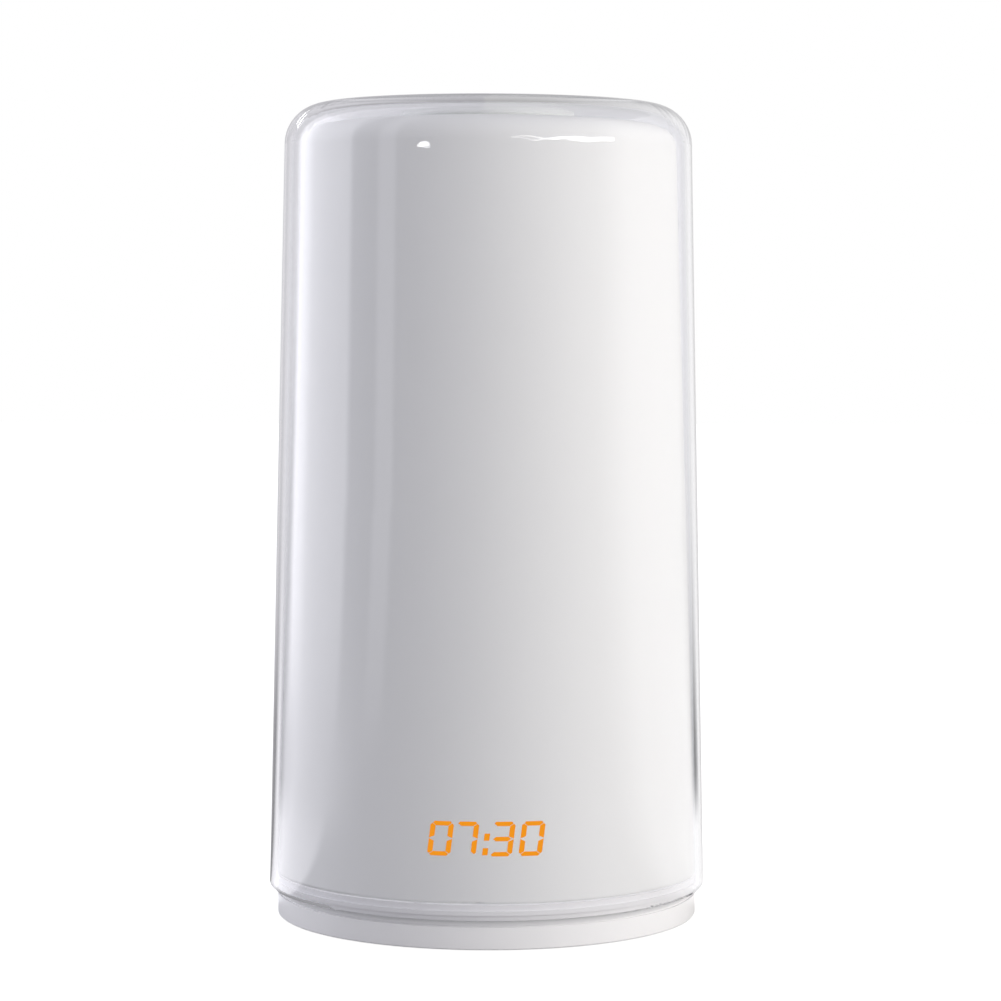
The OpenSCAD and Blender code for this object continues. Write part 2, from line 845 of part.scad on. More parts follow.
// Open header for two wires, with a notch for the plug's latch in the side that it faces.
module wire_header(place, side) {
    w = 5;
    d = 8;
    wall = 0.8;
    difference() {
        on_board(place, w, d, 6);
        translate([place.x, place.y, board_top_z]) {
            slab(w - 2 * wall, wall - d / 2, d / 2 - wall, 1.4, 7);
            translate([side * w / 2, 0, 0]) slab(2.4 * wall, -1.5, 1.5, 3, 7);
        }
    }
}

module board_connectors() {
    color("ivory") {
        ribbon_socket([0, -36.3], 14, [12.2, 0.8]);
        ribbon_socket([0, cable_y], 11, [cable_w + 0.2, cable_t + 0.2]);
        wire_header([-33, 0], -1);
        wire_header([33, -6], 1);
    }
}

module power_inlet() {
    end_z = deck_z + inlet_h - inlet_end_t;
    color([0.15, 0.15, 0.16]) difference() {
        slab(inlet_w, inlet_y - inlet_w / 2, inlet_y + inlet_w / 2, deck_z, deck_z + inlet_h);
        translate([0, inlet_y, 0]) {
            disc(inlet_bore_r, deck_z - 1, end_z - deck_z + 1);
            disc(inlet_rivet_r, end_z - 1, inlet_end_t + 2);
        }
    }
}

module inlet_pin() {
    end_z = deck_z + inlet_h - inlet_end_t;
    tip_z = deck_z + inlet_pin_recess;
    color("silver") translate([0, inlet_y, 0]) {
        disc(inlet_pin_r, tip_z, end_z - tip_z + eps);
        disc(inlet_rivet_r, end_z, inlet_end_t);
    }
}

// ---------------------------------------------------------------- speaker

module speaker_basket() {
    color("gray") translate([0, speaker_y, 0]) difference() {
        rotate_extrude() polygon([
            [speaker_r - 2, speaker_z], [speaker_r, speaker_z], [speaker_r, speaker_z + 1.2],
            [speaker_hole_r - 3, speaker_z + 5], [speaker_hole_r - 3, magnet_z - 0.8],
            [magnet_r, magnet_z], [3.6, magnet_z], [3.6, magnet_z - 1],
            [magnet_r - 1, magnet_z - 1.6], [speaker_hole_r - 4, speaker_z + 6],
            [speaker_hole_r - 4, speaker_z + 5], [speaker_r - 2, speaker_z + 1.2]
        ]);
        for (a = [45 : 90 : 315]) rotate(a) translate([speaker_hole_r - 5, -4, speaker_z + 5.6])
            cube([4, 8, 2.4]);
    }
}

module speaker_cone() {
    cone_r = speaker_r - 5.2;
    roll_r = 1.2;
    roll_z = speaker_z + 0.4;
    color([0.2, 0.2, 0.21]) translate([0, speaker_y, 0]) rotate_extrude() {
        polygon([
            [0, speaker_z + 3], [3, speaker_z + 4], [cone_r, roll_z], [cone_r + 0.4, roll_z],
            [cone_r + 0.4, roll_z + 0.4], [cone_r, roll_z + 0.4], [3, speaker_z + 5.4],
            [3, speaker_z + 9], [2.6, speaker_z + 9], [2.6, speaker_z + 4.4],
            [0, speaker_z + 3.4]
        ]);
        translate([cone_r + roll_r, roll_z]) difference() {
            circle(r = roll_r, $fn = 32);
            circle(r = roll_r - 0.3, $fn = 32);
            translate([-2 * roll_r, -2 * roll_r]) square([4 * roll_r, 2 * roll_r]);
        }
    }
}

module speaker_magnet() {
    color("dimgray") translate([0, speaker_y, 0]) tube(magnet_r, 3.6, magnet_z, magnet_h);
}

module speaker_grille() {
    color("silver") translate([0, speaker_y, plate_top_z - grille_t])
        linear_extrude(grille_t) difference() {
            circle(r = speaker_hole_r - 0.1);
            for (ring = [0 : 5], i = [0 : max(0, 6 * ring - 1)])
                rotate(60 / max(1, ring) * i) translate([2.5 * ring, 0])
                    circle(r = 0.75, $fn = 24);
        }
}

// ---------------------------------------------------------------- coin cell

// Two tabs of the quarter-turn cap, from z upwards, larger all round by gap.
module cap_tabs(gap, z, h) {
    half_w = cap_r * tan(cap_tab_angle / 2) + gap;
    translate([0, 0, z]) linear_extrude(h) intersection() {
        circle(r = cap_r + cap_tab_reach + gap);
        translate([-cap_r - 3, -half_w]) square([2 * cap_r + 6, 2 * half_w]);
    }
}

module battery_cap() {
    slot_w = 2.2;
    slot_l = 15;
    color("whitesmoke") translate([cell_x, cell_y, 0]) difference() {
        union() {
            disc(cap_r, plate_z, cap_h);
            cap_tabs(0, plate_z + cap_h - cap_tab_t, cap_tab_t);
        }
        translate([-slot_w / 2, -slot_l / 2, plate_z - 1]) cube([slot_w, slot_l, 2.2]);
        disc(cap_r - 1.5, plate_z + plate_t, cap_h);
    }
}

module battery_cup() {
    color([0.15, 0.15, 0.16]) translate([cell_x, cell_y, 0]) difference() {
        disc(cup_r, plate_top_z, deck_bottom_z - plate_top_z);
        disc(cup_r - cup_wall, plate_top_z - 1, cell_z - plate_top_z + 1);
        disc(cell_d / 2 + 0.3, plate_top_z, deck_bottom_z - 0.9 - plate_top_z);
        translate([-cup_r - 1, -2.2, cell_z]) cube([6, 4.4, 2]);
    }
}

module coin_cell() {
    color("silver") translate([cell_x, cell_y, 0]) {
        disc(cell_d / 2, cell_z, cell_t - 0.4);
        disc(cell_d / 2 - 1.2, cell_z + cell_t - 0.4 - eps, 0.4 + eps);
    }
}

module cell_contacts() {
    top_z = cell_z + cell_t + 0.05;
    color("gold") translate([cell_x, cell_y, 0]) {
        translate([-1.5, -7, top_z]) cube([3, 14, 0.3]);
        translate([-cell_d / 2 - 1.1, -1.8, cell_z + 0.2]) cube([0.4, 3.6, 1.6]);
        translate([-cell_d / 2 - 0.7 - eps, -1.8, cell_z + 0.6]) cube([0.65, 3.6, 0.8]);
    }
}

// ---------------------------------------------------------------- controls

module control_housing() {
    step_z = control_board_z - 0.4;
    color("lightgray") difference() {
        union() {
            rotate_extrude() polygon([
                [0, housing_z], [housing_r, housing_z], [housing_r, shade_inner_top_z],
                [neck_tube_r, shade_inner_top_z], [neck_tube_r, bezel_z],
                [neck_tube_inner_r, bezel_z], [neck_tube_inner_r, step_z],
                [housing_r - housing_wall, step_z],
                [housing_r - housing_wall, housing_z + housing_floor_t],
                [0, housing_z + housing_floor_t]
            ]);
            around(post_angles, post_place_r) {
                disc(post_r, housing_z + 1, control_board_z - housing_z - 1);
                slab_x(housing_r - housing_wall / 2 - post_place_r, gusset_t, housing_z + 1,
                    control_board_z - 2);
            }
            hex_bar(spigot_af, housing_z - spigot_h, spigot_h + eps);
        }
        around(post_angles, post_place_r)
            disc(small_screw_r + screw_gap, housing_z - 1, control_board_top_z - housing_z);
        disc(rod_r + screw_gap, housing_z - spigot_h - 1, spigot_h + housing_floor_t + 2);
        slab(cable_w + 1, cable_y - cable_t, cable_y + cable_t, housing_z - spigot_h - 1,
            housing_z + housing_floor_t + 1);
    }
}

module control_board() {
    color("darkgreen") difference() {
        disc(control_board_r, control_board_z, board_t);
        around(post_angles, post_place_r)
            disc(small_screw_r + screw_gap, control_board_z - 1, board_t + 2);
    }
}

module control_screws() {
    color("silver") around(post_angles, post_place_r)
        screw_up(small_screw_r, small_head_r, 1.6, housing_z - 1.6,
            bezel_z - 2.5 - housing_z);
}

module key_guide() {
    color("gainsboro") difference() {
        disc(guide_plate_r, guide_plate_z, guide_plate_t);
        disc(snooze_stem_r + button_gap, guide_plate_z - 1, guide_plate_t + 2);
        around([0, 90, 180, 270], post_place_r)
            disc(stem_r + button_gap, guide_plate_z - 1, guide_plate_t + 2);
        around(post_angles, post_place_r)
            disc(spoke_w / 2 + 0.1, guide_plate_z - 1, guide_plate_t + 2);
    }
}

// Quarter of the ring between two radii, cut back from the spokes on its two sides.
module ring_quarter(inner_r, outer_r, cut) {
    difference() {
        circle(r = outer_r);
        circle(r = inner_r);
        rotate(135) translate([-cut, -30]) square([60, 60]);
        rotate(-135) translate([-cut, -30]) square([60, 60]);
    }
}

module control_bezel() {
    spoke_cut = spoke_w / 2;
    color("white") difference() {
        union() {
            disc(neck_tube_r, bezel_z, bezel_top_z - bezel_z);
            rotate_extrude() {
                polygon([
                    [0, cover_top_z], [bezel_flange_r, cover_top_z],
                    [bezel_flange_r, bezel_top_z - edge_round],
                    [bezel_flange_r - edge_round, bezel_top_z - edge_round],
                    [bezel_flange_r - edge_round, bezel_top_z], [0, bezel_top_z]
                ]);
                translate([bezel_flange_r - edge_round, bezel_top_z - edge_round])
                    circle(r = edge_round, $fn = 32);
            }
            around(post_angles, post_place_r)
                disc(spoke_cut, control_board_top_z, bezel_z - control_board_top_z + eps);
        }
        disc(snooze_r + button_gap, bezel_z - 1, 5);
        for (a = [0, 90, 180, 270]) rotate(a) translate([0, 0, bezel_z - 1]) linear_extrude(5)
            ring_quarter(ring_inner_r - button_gap, ring_outer_r + button_gap, spoke_cut);
        around(post_angles, post_place_r)
            disc(small_screw_r, control_board_top_z - 1, bezel_z - control_board_top_z - 1);
    }
}

module snooze_button() {
    color("gainsboro") {
        rotate_extrude() {
            polygon([
                [0, button_flange_z], [snooze_r + flange_reach, button_flange_z],
                [snooze_r + flange_reach, button_flange_top_z], [snooze_r, button_flange_top_z],
                [snooze_r, button_top_z - edge_round],
                [snooze_r - edge_round, button_top_z - edge_round],
                [snooze_r - edge_round, button_top_z], [snooze_r - 1.5, button_top_z],
                [snooze_r - 2.5, button_top_z - 0.3], [0, button_top_z - 0.3]
            ]);
            translate([snooze_r - edge_round, button_top_z - edge_round])
                circle(r = edge_round, $fn = 32);
        }
        disc(snooze_stem_r, stem_z, button_flange_z - stem_z + eps);
    }
}

// Ring key facing +X; its children are cut into its top as a mark.
module ring_key() {
    cut = spoke_w / 2 + button_gap;
    difference() {
        union() {
            translate([0, 0, button_flange_z]) linear_extrude(button_top_z - button_flange_z)
                ring_quarter(ring_inner_r, ring_outer_r, cut);
            translate([0, 0, button_flange_z]) linear_extrude(button_flange_t)
                ring_quarter(ring_inner_r - flange_reach, ring_outer_r + flange_reach, cut);
        }
        translate([post_place_r, 0, button_top_z - mark_depth]) children();
    }
    translate([post_place_r, 0, 0]) disc(stem_r, stem_z, button_flange_z - stem_z + eps);
}

// Straight groove in a key's top, centred on its place.
module mark_bar(angle) {
    rotate(angle) translate([-mark_l / 2, -mark_w / 2, 0]) cube([mark_l, mark_w, 1]);
}

module plus_key() {
    color("gainsboro") ring_key() {
        mark_bar(0);
        mark_bar(90);
    }
}

module minus_key() {
    color("gainsboro") rotate(180) ring_key() mark_bar(90);
}

module alarm_key() {
    color("gainsboro") rotate(front) ring_key() tube(mark_l / 2, mark_l / 2 - mark_w, 0, 1);
}

module time_key() {
    color("gainsboro") rotate(90) ring_key() {
        translate([-mark_w, 0, 0]) mark_bar(90);
        translate([mark_w, 0, 0]) mark_bar(90);
    }
}

// Hollow silicone dome between the control board and the foot of a stem.
module dome(angle, place_r, r) {
    h = stem_z - control_board_top_z;
    color("mintcream") rotate(angle) translate([place_r, 0, control_board_top_z])
        rotate_extrude() polygon([
            [r + 0.2, 0], [r + 0.8, 0], [r + 0.7, 0.4], [r, h - 0.5], [r, h], [0, h],
            [0, h - 0.8], [r - 0.6, h - 0.8], [r + 0.2, 0.3]
        ]);
}

module snooze_dome() { dome(0, 0, snooze_stem_r); }
module plus_dome() { dome(0, post_place_r, stem_r); }
module minus_dome() { dome(180, post_place_r, stem_r); }
module alarm_dome() { dome(front, post_place_r, stem_r); }
module time_dome() { dome(90, post_place_r, stem_r); }

outer_cover();
diffuser();
base_housing();
base_deck();
inlet_pocket();
bottom_plate();
rubber_feet();
housing_screws();
plate_standoffs();
board_standoffs();
chassis();
chassis_screws();
chassis_nuts();
reflector_disc();
light_column();
led_strips();
led_chips();
tie_rod();
tie_rod_nuts();
column_cable();
display_shroud();
lit_light_guides();
dark_light_guides();
display_board();
display_leds();
display_cable();
main_board();
board_screws();
board_chips();
board_capacitors();
board_connectors();
power_inlet();
inlet_pin();
speaker_basket();
speaker_cone();
speaker_magnet();
speaker_grille();
battery_cap();
battery_cup();
coin_cell();
cell_contacts();
control_housing();
spacer_ring();
control_board();
key_guide();
control_bezel();
control_screws();
snooze_button();
plus_key();
minus_key();
alarm_key();
time_key();
snooze_dome();
plus_dome();
minus_dome();
alarm_dome();
time_dome();
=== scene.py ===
# %% [markdown]
# # A sunrise alarm clock
# This bedside lamp is a clear cover, shaped like an upturned tumbler, over a white inner shade.
# Orange digits shine through the shade low on its front, and five keys sit in the flat top.
# The solid parts come from a CAD model. Here they get their finishes, the small things that CAD
# leaves out are modelled by hand, and the lamp is lit like a product in a studio.

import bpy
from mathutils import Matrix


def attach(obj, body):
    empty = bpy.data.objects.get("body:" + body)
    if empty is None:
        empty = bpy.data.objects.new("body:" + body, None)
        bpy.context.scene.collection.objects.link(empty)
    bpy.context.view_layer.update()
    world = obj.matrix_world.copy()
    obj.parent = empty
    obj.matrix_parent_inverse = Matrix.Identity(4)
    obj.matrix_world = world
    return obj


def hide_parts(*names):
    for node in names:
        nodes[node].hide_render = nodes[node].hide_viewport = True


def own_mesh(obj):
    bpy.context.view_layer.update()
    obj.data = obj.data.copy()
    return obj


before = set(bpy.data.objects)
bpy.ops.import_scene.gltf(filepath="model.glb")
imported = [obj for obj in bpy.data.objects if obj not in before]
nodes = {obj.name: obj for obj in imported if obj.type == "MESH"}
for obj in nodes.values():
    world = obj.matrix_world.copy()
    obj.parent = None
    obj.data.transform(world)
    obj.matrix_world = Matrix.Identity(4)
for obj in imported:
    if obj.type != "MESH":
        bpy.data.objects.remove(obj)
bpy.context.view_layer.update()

# %% [markdown]
# ## The camera
# The lamp stands about 86 cm away, and the lens is a long one of 112 mm, so its sides hardly
# converge. The camera looks down by a few degrees, which shows the rims as shallow ellipses, and
# it is rolled by a seventh of a degree, as a camera on a hand-set tripod is.

# %% Place the camera
import math

import bpy
from mathutils import Matrix, Vector

scene = bpy.context.scene
bpy.ops.object.camera_add(
    location=(0, -0.859, 0.164),
    rotation=(math.radians(86.66), math.radians(-0.15), math.radians(-0.23)),
)
camera = bpy.context.object
camera.name = "studio_camera"
camera.data.lens = 112.2
camera.data.sensor_width = 36
camera.data.dof.use_dof = False
scene.camera = camera
scene.view_settings.view_transform = "Standard"
print("camera at", [round(v, 3) for v in camera.location])

# %% [markdown]
# ## Colours and nodes
# Colours are written as hex values, as a paint program shows them. A shader wants linear light
# instead, so one function converts them. Another adds a node and fills in its inputs: a value is
# set on the socket, and the output of another node is linked to it. Two more start a material and
# tell a shader where on its object it is.

# %% Four small helpers
MM = 0.001  # a millimetre in Blender's metres


def linear(hex_value):
    """The linear red, green, blue and alpha of an sRGB hex colour."""
    parts = [int(hex_value[i:i + 2], 16) / 255 for i in (0, 2, 4)]
    light = [p / 12.92 if p <= 0.04045 else ((p + 0.055) / 1.055) ** 2.4 for p in parts]
    return (*light, 1)


def add(tree, kind, inputs=(), **settings):
    """Adds a node, sets its settings, and sets or links its inputs."""
    made = tree.nodes.new(kind)
    for name, value in settings.items():
        setattr(made, name, value)
    for name, value in dict(inputs).items():
        if isinstance(value, bpy.types.NodeSocket):
            tree.links.new(value, made.inputs[name])
        else:
            made.inputs[name].default_value = value
    return made


def blank(name):
    """A new material, with its node tree and its Principled shader."""
    material = bpy.data.materials.new(name)
    material.use_nodes = True
    return material, material.node_tree, material.node_tree.nodes["Principled BSDF"]


def own_place(tree):
    """The place of a point in its object's own frame, in metres."""
    return add(tree, "ShaderNodeTexCoord").outputs["Object"]


print("mid grey 808080 is", round(linear("808080")[0], 3), "in linear light")

# %% [markdown]
# ## Moulded plastics
# ABS and polycarbonate parts come out of a steel mould. Its spark-eroded texture prints a fine
# grain on them, which breaks up the gloss, and slow flow marks shift the shade a little. Both
# are noise patterns here: one of the grain's size for the bump, and a broad one for the shade.

# %% A function for moulded plastics
FLOW_SHADE, FLOW_GLOSS = 0.965, 0.03  # how far flow marks darken the colour and shift roughness


def moulded(name, hex_value, roughness, grain_mm, depth_mm, ior=1.54, flow_mm=18):
    """A plastic with a mould's fine grain and slow, faint flow marks."""
    material, tree, shader = blank(name)
    place = own_place(tree)
    flow = add(tree, "ShaderNodeTexNoise", {"Vector": place, "Scale": 1000 / flow_mm, "Detail": 2})
    main = linear(hex_value)
    shade = add(tree, "ShaderNodeMix", {
        "Factor": flow.outputs["Fac"], "A": [FLOW_SHADE * c for c in main[:3]] + [1], "B": main,
    }, data_type="RGBA")
    gloss = add(tree, "ShaderNodeMapRange", {
        "Value": flow.outputs["Fac"],
        "To Min": roughness - FLOW_GLOSS, "To Max": roughness + FLOW_GLOSS,
    })
    grain = add(tree, "ShaderNodeTexNoise", {
        "Vector": place, "Scale": 1000 / grain_mm, "Detail": 3,
    })
    bump = add(tree, "ShaderNodeBump", {
        "Height": grain.outputs["Fac"], "Distance": depth_mm / 1000, "Strength": 0.6,
    })
    tree.links.new(shade.outputs["Result"], shader.inputs["Base Color"])
    tree.links.new(gloss.outputs["Result"], shader.inputs["Roughness"])
    tree.links.new(bump.outputs["Normal"], shader.inputs["Normal"])
    shader.inputs["IOR"].default_value = ior
    return material


def paint(material, *names):
    """Gives CAD nodes a material, in the slots of their objects."""
    for name in names:
        piece = nodes[name]
        if not piece.material_slots:
            piece.data.materials.append(material)
        for slot in piece.material_slots:
            slot.material = material


white_abs = moulded("White ABS, fine satin", "F1F1F0", 0.34, 0.35, 0.006)
paint(white_abs, "bottom_plate", "battery_cap", "control_bezel", "inlet_pocket", "base_deck")
pale_abs = moulded("Pale grey ABS, satin", "D9DADC", 0.42, 0.4, 0.008)
paint(pale_abs, "chassis", "display_shroud", "control_housing", "key_guide")
key_abs = moulded("Key ABS, fine spark grain", "DFE0E2", 0.46, 0.3, 0.012)
paint(key_abs, "snooze_button", "plus_key", "minus_key", "alarm_key", "time_key")
black_abs = moulded("Black ABS, matt", "1B1B1D", 0.5, 0.35, 0.01)
paint(black_abs, "power_inlet", "battery_cup")
print("plastics:", white_abs.name, "|", pale_abs.name, "|", key_abs.name, "|", black_abs.name)

# %% [markdown]
# ## Painted shade under the cover's rim
# The housing is the same white ABS. Shade falls into the joint under the cover's rim, and here it
# is painted into the colour as a thin grey line that thins out towards the groove below. The
# colour is darkened by height, from the groove's edge up to just above the joint. The skirt lies
# lower and keeps its plain colour.

# %% Paint shade under the rim
GROOVE_EDGE, JOINT_HEIGHT, SHADE_TOP = 0.0062, 0.0081, 0.0084  # heights in metres
housing_abs = moulded("White ABS, painted joint shade", "EEEDF0", 0.34, 0.35, 0.006)
tree = housing_abs.node_tree
base_colour = tree.nodes["Principled BSDF"].inputs["Base Color"]
height = add(tree, "ShaderNodeSeparateXYZ", {"Vector": own_place(tree)}).outputs["Z"]
# painted shade: the colour darkens with height towards the joint under the cover's rim
shade_ramp = add(tree, "ShaderNodeMapRange", {
    "Value": height, "From Min": GROOVE_EDGE, "From Max": JOINT_HEIGHT,
})
shaded_zone = add(tree, "ShaderNodeMath", {  # 1 from the groove's edge to the top of the painted shade
    0: height, 1: (GROOVE_EDGE + SHADE_TOP) / 2, 2: (SHADE_TOP - GROOVE_EDGE) / 2,
}, operation="COMPARE")
joint_shade = add(tree, "ShaderNodeMath", {
    0: shade_ramp.outputs["Result"], 1: shaded_zone.outputs[0],
}, operation="MULTIPLY")
shaded_colour = add(tree, "ShaderNodeMix", {
    "Factor": joint_shade.outputs[0], "A": base_colour.links[0].from_socket, "B": linear("A9A9AD"),
}, data_type="RGBA")
tree.links.new(shaded_colour.outputs["Result"], base_colour)
paint(housing_abs, "base_housing")
print("dust from", GROOVE_EDGE * 1000, "to", SHADE_TOP * 1000, "mm above the table")

# %% [markdown]
# ## The opal shade
# The inner shade is opal polycarbonate: white pigment spreads the light of the lamps inside, and
# a very fine matt surface kills reflections. Its grain is shallow and a quarter of a millimetre
# wide, so that from arm's length it reads as smooth, soft white. A faint painted glow on the
# lowest 0.7 mm of the wall lights the lower edge, where no lamp reaches, so that it shows a soft
# white line instead of a black one.

# %% Finish the diffuser and the reflector
opal = moulded("Opal polycarbonate, matt", "EFEFF0", 0.55, 0.25, 0.003, ior=1.58, flow_mm=60)
SHADE_EDGE, PAINTED_GLOW_HEIGHT, PAINTED_GLOW = 0.0121, 0.0007, 0.3
tree = opal.node_tree
# painted light: the shade's lowest 0.7 mm gives off a faint white glow, fading upwards
painted_edge_glow = add(tree, "ShaderNodeMapRange", {
    "Value": add(tree, "ShaderNodeSeparateXYZ", {"Vector": own_place(tree)}).outputs["Z"],
    "From Min": SHADE_EDGE, "From Max": SHADE_EDGE + PAINTED_GLOW_HEIGHT, "To Min": PAINTED_GLOW, "To Max": 0,
}, interpolation_type="SMOOTHSTEP")
shader = tree.nodes["Principled BSDF"]
shader.inputs["Emission Color"].default_value = linear("EFEFF2")
tree.links.new(painted_edge_glow.outputs["Result"], shader.inputs["Emission Strength"])
paint(opal, "diffuser", "reflector_disc")
print("opal shade:", opal.name)

# %% [markdown]
# ## The clear cover
# The cover is polished PMMA, with an index of 1.49, in a wall of 1.8 mm. Light from a lamp would
# need many samples to find its way through it, so a ray that only asks for light passes
# straight through a Transparent shader. What the eye sees still bends and reflects. Light that
# is caught in the wall runs around in it until it leaves at an edge. Blender gives such a ray up
# after a few reflections, which would leave it black, so a dim grey painted glow stands in there.

# %% Finish the clear parts
CAUGHT, CAUGHT_PAINTED_GLOW = 3.4, 0.15  # light is caught after more bounces than this, and a painted glow this bright stands in for it


def clear(name, hex_value, ior, wave_mm, wave_depth_mm):
    """Clear plastic that lets lamp light through, with the faint waviness of a moulding."""
    material, tree, shader = blank(name)
    shader.inputs["Base Color"].default_value = linear(hex_value)
    shader.inputs["Roughness"].default_value = 0
    shader.inputs["IOR"].default_value = ior
    shader.inputs["Transmission Weight"].default_value = 1
    wave = add(tree, "ShaderNodeTexNoise", {
        "Vector": own_place(tree), "Scale": 1000 / wave_mm, "Detail": 1,
    })
    bump = add(tree, "ShaderNodeBump", {
        "Height": wave.outputs["Fac"], "Distance": wave_depth_mm / 1000, "Strength": 0.5,
    })
    tree.links.new(bump.outputs["Normal"], shader.inputs["Normal"])
    ray = add(tree, "ShaderNodeLightPath")
    # painted light: a ray caught in the wall makes the cover give off a dim grey glow
    caught = add(tree, "ShaderNodeMapRange", {
        "Value": ray.outputs["Ray Depth"],
        "From Min": CAUGHT, "From Max": CAUGHT + 0.1, "To Max": CAUGHT_PAINTED_GLOW,
    })
    tree.links.new(caught.outputs["Result"], shader.inputs["Emission Strength"])
    shader.inputs["Emission Color"].default_value = linear("E4E4EA")
    only_light = add(tree, "ShaderNodeMath", {
        0: ray.outputs["Is Shadow Ray"], 1: ray.outputs["Is Diffuse Ray"],
    }, operation="MAXIMUM")
    straight = add(tree, "ShaderNodeBsdfTransparent", {"Color": (0.97, 0.97, 0.97, 1)})  # 3% lost
    both = add(tree, "ShaderNodeMixShader", {
        0: only_light.outputs[0], 1: shader.outputs[0], 2: straight.outputs[0],
    })
    tree.links.new(both.outputs[0], tree.nodes["Material Output"].inputs["Surface"])
    return material


clear_pmma = clear("Clear polished PMMA", "FBFBFD", 1.49, 30, 0.01)
paint(clear_pmma, "outer_cover")
guide_pmma = clear("Clear light-guide PMMA", "F6F7F7", 1.49, 12, 0.01)
paint(guide_pmma, "dark_light_guides")
print("clear parts:", clear_pmma.name, "and", guide_pmma.name)

# %% [markdown]
# ## Metals
# A metal has no colour of its own under the gloss: its Base Color is the colour of its
# reflection. Drawing and turning leave fine lines, a few hundredths of a millimetre apart, and
# at this size they only spread the gloss. The noise is stretched along one axis to show them.


# %% A function for metals
def metal(name, hex_value, roughness, line_mm, stretch=(1, 1, 12), dirt=0.06):
    """A metal with fine lines along the axis of the largest stretch, and uneven roughness."""
    material, tree, shader = blank(name)
    shader.inputs["Base Color"].default_value = linear(hex_value)
    shader.inputs["Metallic"].default_value = 1
    drawn_out = add(tree, "ShaderNodeMapping", {
        "Vector": own_place(tree), "Scale": [1000 / line_mm / s for s in stretch],
    })
    lines = add(tree, "ShaderNodeTexNoise", {
        "Vector": drawn_out.outputs[0], "Scale": 1, "Detail": 2,
    })
    gloss = add(tree, "ShaderNodeMapRange", {
        "Value": lines.outputs["Fac"], "To Min": roughness - dirt, "To Max": roughness + dirt,
    })
    tree.links.new(gloss.outputs["Result"], shader.inputs["Roughness"])
    return material


anodised = metal("Anodised aluminium, drawn", "C9CBCD", 0.34, 0.3)
paint(anodised, "light_column")
zinc = metal("Zinc-plated steel", "BFC3C8", 0.28, 0.5, (1, 1, 1))
paint(zinc, "housing_screws", "chassis_screws", "chassis_nuts", "board_screws", "control_screws",
      "tie_rod", "speaker_basket", "speaker_grille")
nickel = metal("Nickel plate, bright", "CFCBC2", 0.16, 0.4, (8, 1, 1), 0.04)
paint(nickel, "coin_cell", "inlet_pin")
brass = metal("Turned brass", "D9B25F", 0.25, 0.15, (12, 12, 1))
paint(brass, "tie_rod_nuts", "plate_standoffs", "board_standoffs", "cell_contacts")
print("metals:", anodised.name, "|", zinc.name, "|", nickel.name, "|", brass.name)

# %% [markdown]
# ## Rubber, paper and the rest
# The softer and stranger surfaces differ mostly in roughness and grain. Silicone and rubber are
# matt, a ferrite magnet is a grey sintered powder, and a speaker cone is pressed paper fibre.

# %% Finish the remaining mouldings
WIRE_STEP = 0.00127  # a ribbon cable's wires lie side by side along X

rubber = moulded("Foot rubber, matt", "4A4A4C", 0.72, 0.6, 0.03, ior=1.52)
paint(rubber, "rubber_feet")
silicone = moulded("Silicone, moulded", "DADCDA", 0.5, 0.5, 0.01, ior=1.41)
paint(silicone, "spacer_ring", "snooze_dome", "plus_dome", "minus_dome", "alarm_dome",
      "time_dome")
ferrite = moulded("Sintered ferrite", "2C2D30", 0.6, 0.4, 0.03, ior=2.0)
paint(ferrite, "speaker_magnet")
paper = moulded("Pressed paper cone", "26262A", 0.85, 1.2, 0.06, ior=1.5)
paint(paper, "speaker_cone")
sleeve = moulded("PVC sleeve, shrunk", "1E3F78", 0.3, 1.5, 0.02, ior=1.53)
paint(sleeve, "board_capacitors")
epoxy = moulded("Moulded epoxy", "17171A", 0.55, 0.25, 0.01, ior=1.55)
paint(epoxy, "board_chips")
nylon = moulded("Natural nylon", "E4DFCF", 0.45, 0.5, 0.01, ior=1.53)
paint(nylon, "board_connectors")
ribbon = moulded("PVC ribbon cable", "A9ABB0", 0.4, 0.8, 0.01, ior=1.53)
paint(ribbon, "column_cable", "display_cable")
tree = ribbon.node_tree
wires = add(tree, "ShaderNodeTexWave", {  # one round ridge for each wire
    "Vector": own_place(tree), "Scale": math.pi / 10 / WIRE_STEP,
}, bands_direction="X")
ridges = add(tree, "ShaderNodeBump", {"Height": wires.outputs["Fac"], "Distance": 0.0003})
tree.links.new(ridges.outputs["Normal"], tree.nodes["Principled BSDF"].inputs["Normal"])
mask = moulded("Solder mask on FR4", "17603A", 0.3, 0.9, 0.01, ior=1.55)
paint(mask, "display_board", "main_board", "control_board")
strip_mask = moulded("White solder mask", "F2F2EE", 0.35, 0.9, 0.008, ior=1.55)
paint(strip_mask, "led_strips")
phosphor = moulded("Yellow phosphor silicone", "EFCB56", 0.4, 0.25, 0.01, ior=1.41)
print("rest done;", sum(len(o.material_slots) > 0 for o in nodes.values()), "nodes have a finish")

# %% [markdown]
# ## Light from the display
# The lit light guides end just behind the shade. Its wall is thinned to under a millimetre
# there, so each guide's end prints a crisp orange bar on the outside. That bar is modelled as a
# film: the guides' front faces are copied, laid on the shade's outer face and given a little
# thickness. Its shader gives off light and hardly reflects, so it keeps its colour in any studio.


# %% Orange that glows
def glowing(name, hex_value, strength):
    """A surface that gives off light and reflects almost nothing."""
    material, _, shader = blank(name)
    shader.inputs["Base Color"].default_value = linear("1A0D02")
    shader.inputs["Roughness"].default_value = 0.6
    shader.inputs["Specular IOR Level"].default_value = 0
    shader.inputs["Emission Color"].default_value = linear(hex_value)
    shader.inputs["Emission Strength"].default_value = strength
    return material


orange_light = glowing("Orange light in PMMA", "FB9A12", 1)
paint(orange_light, "lit_light_guides", "display_leds")
print("display light:", orange_light.name)

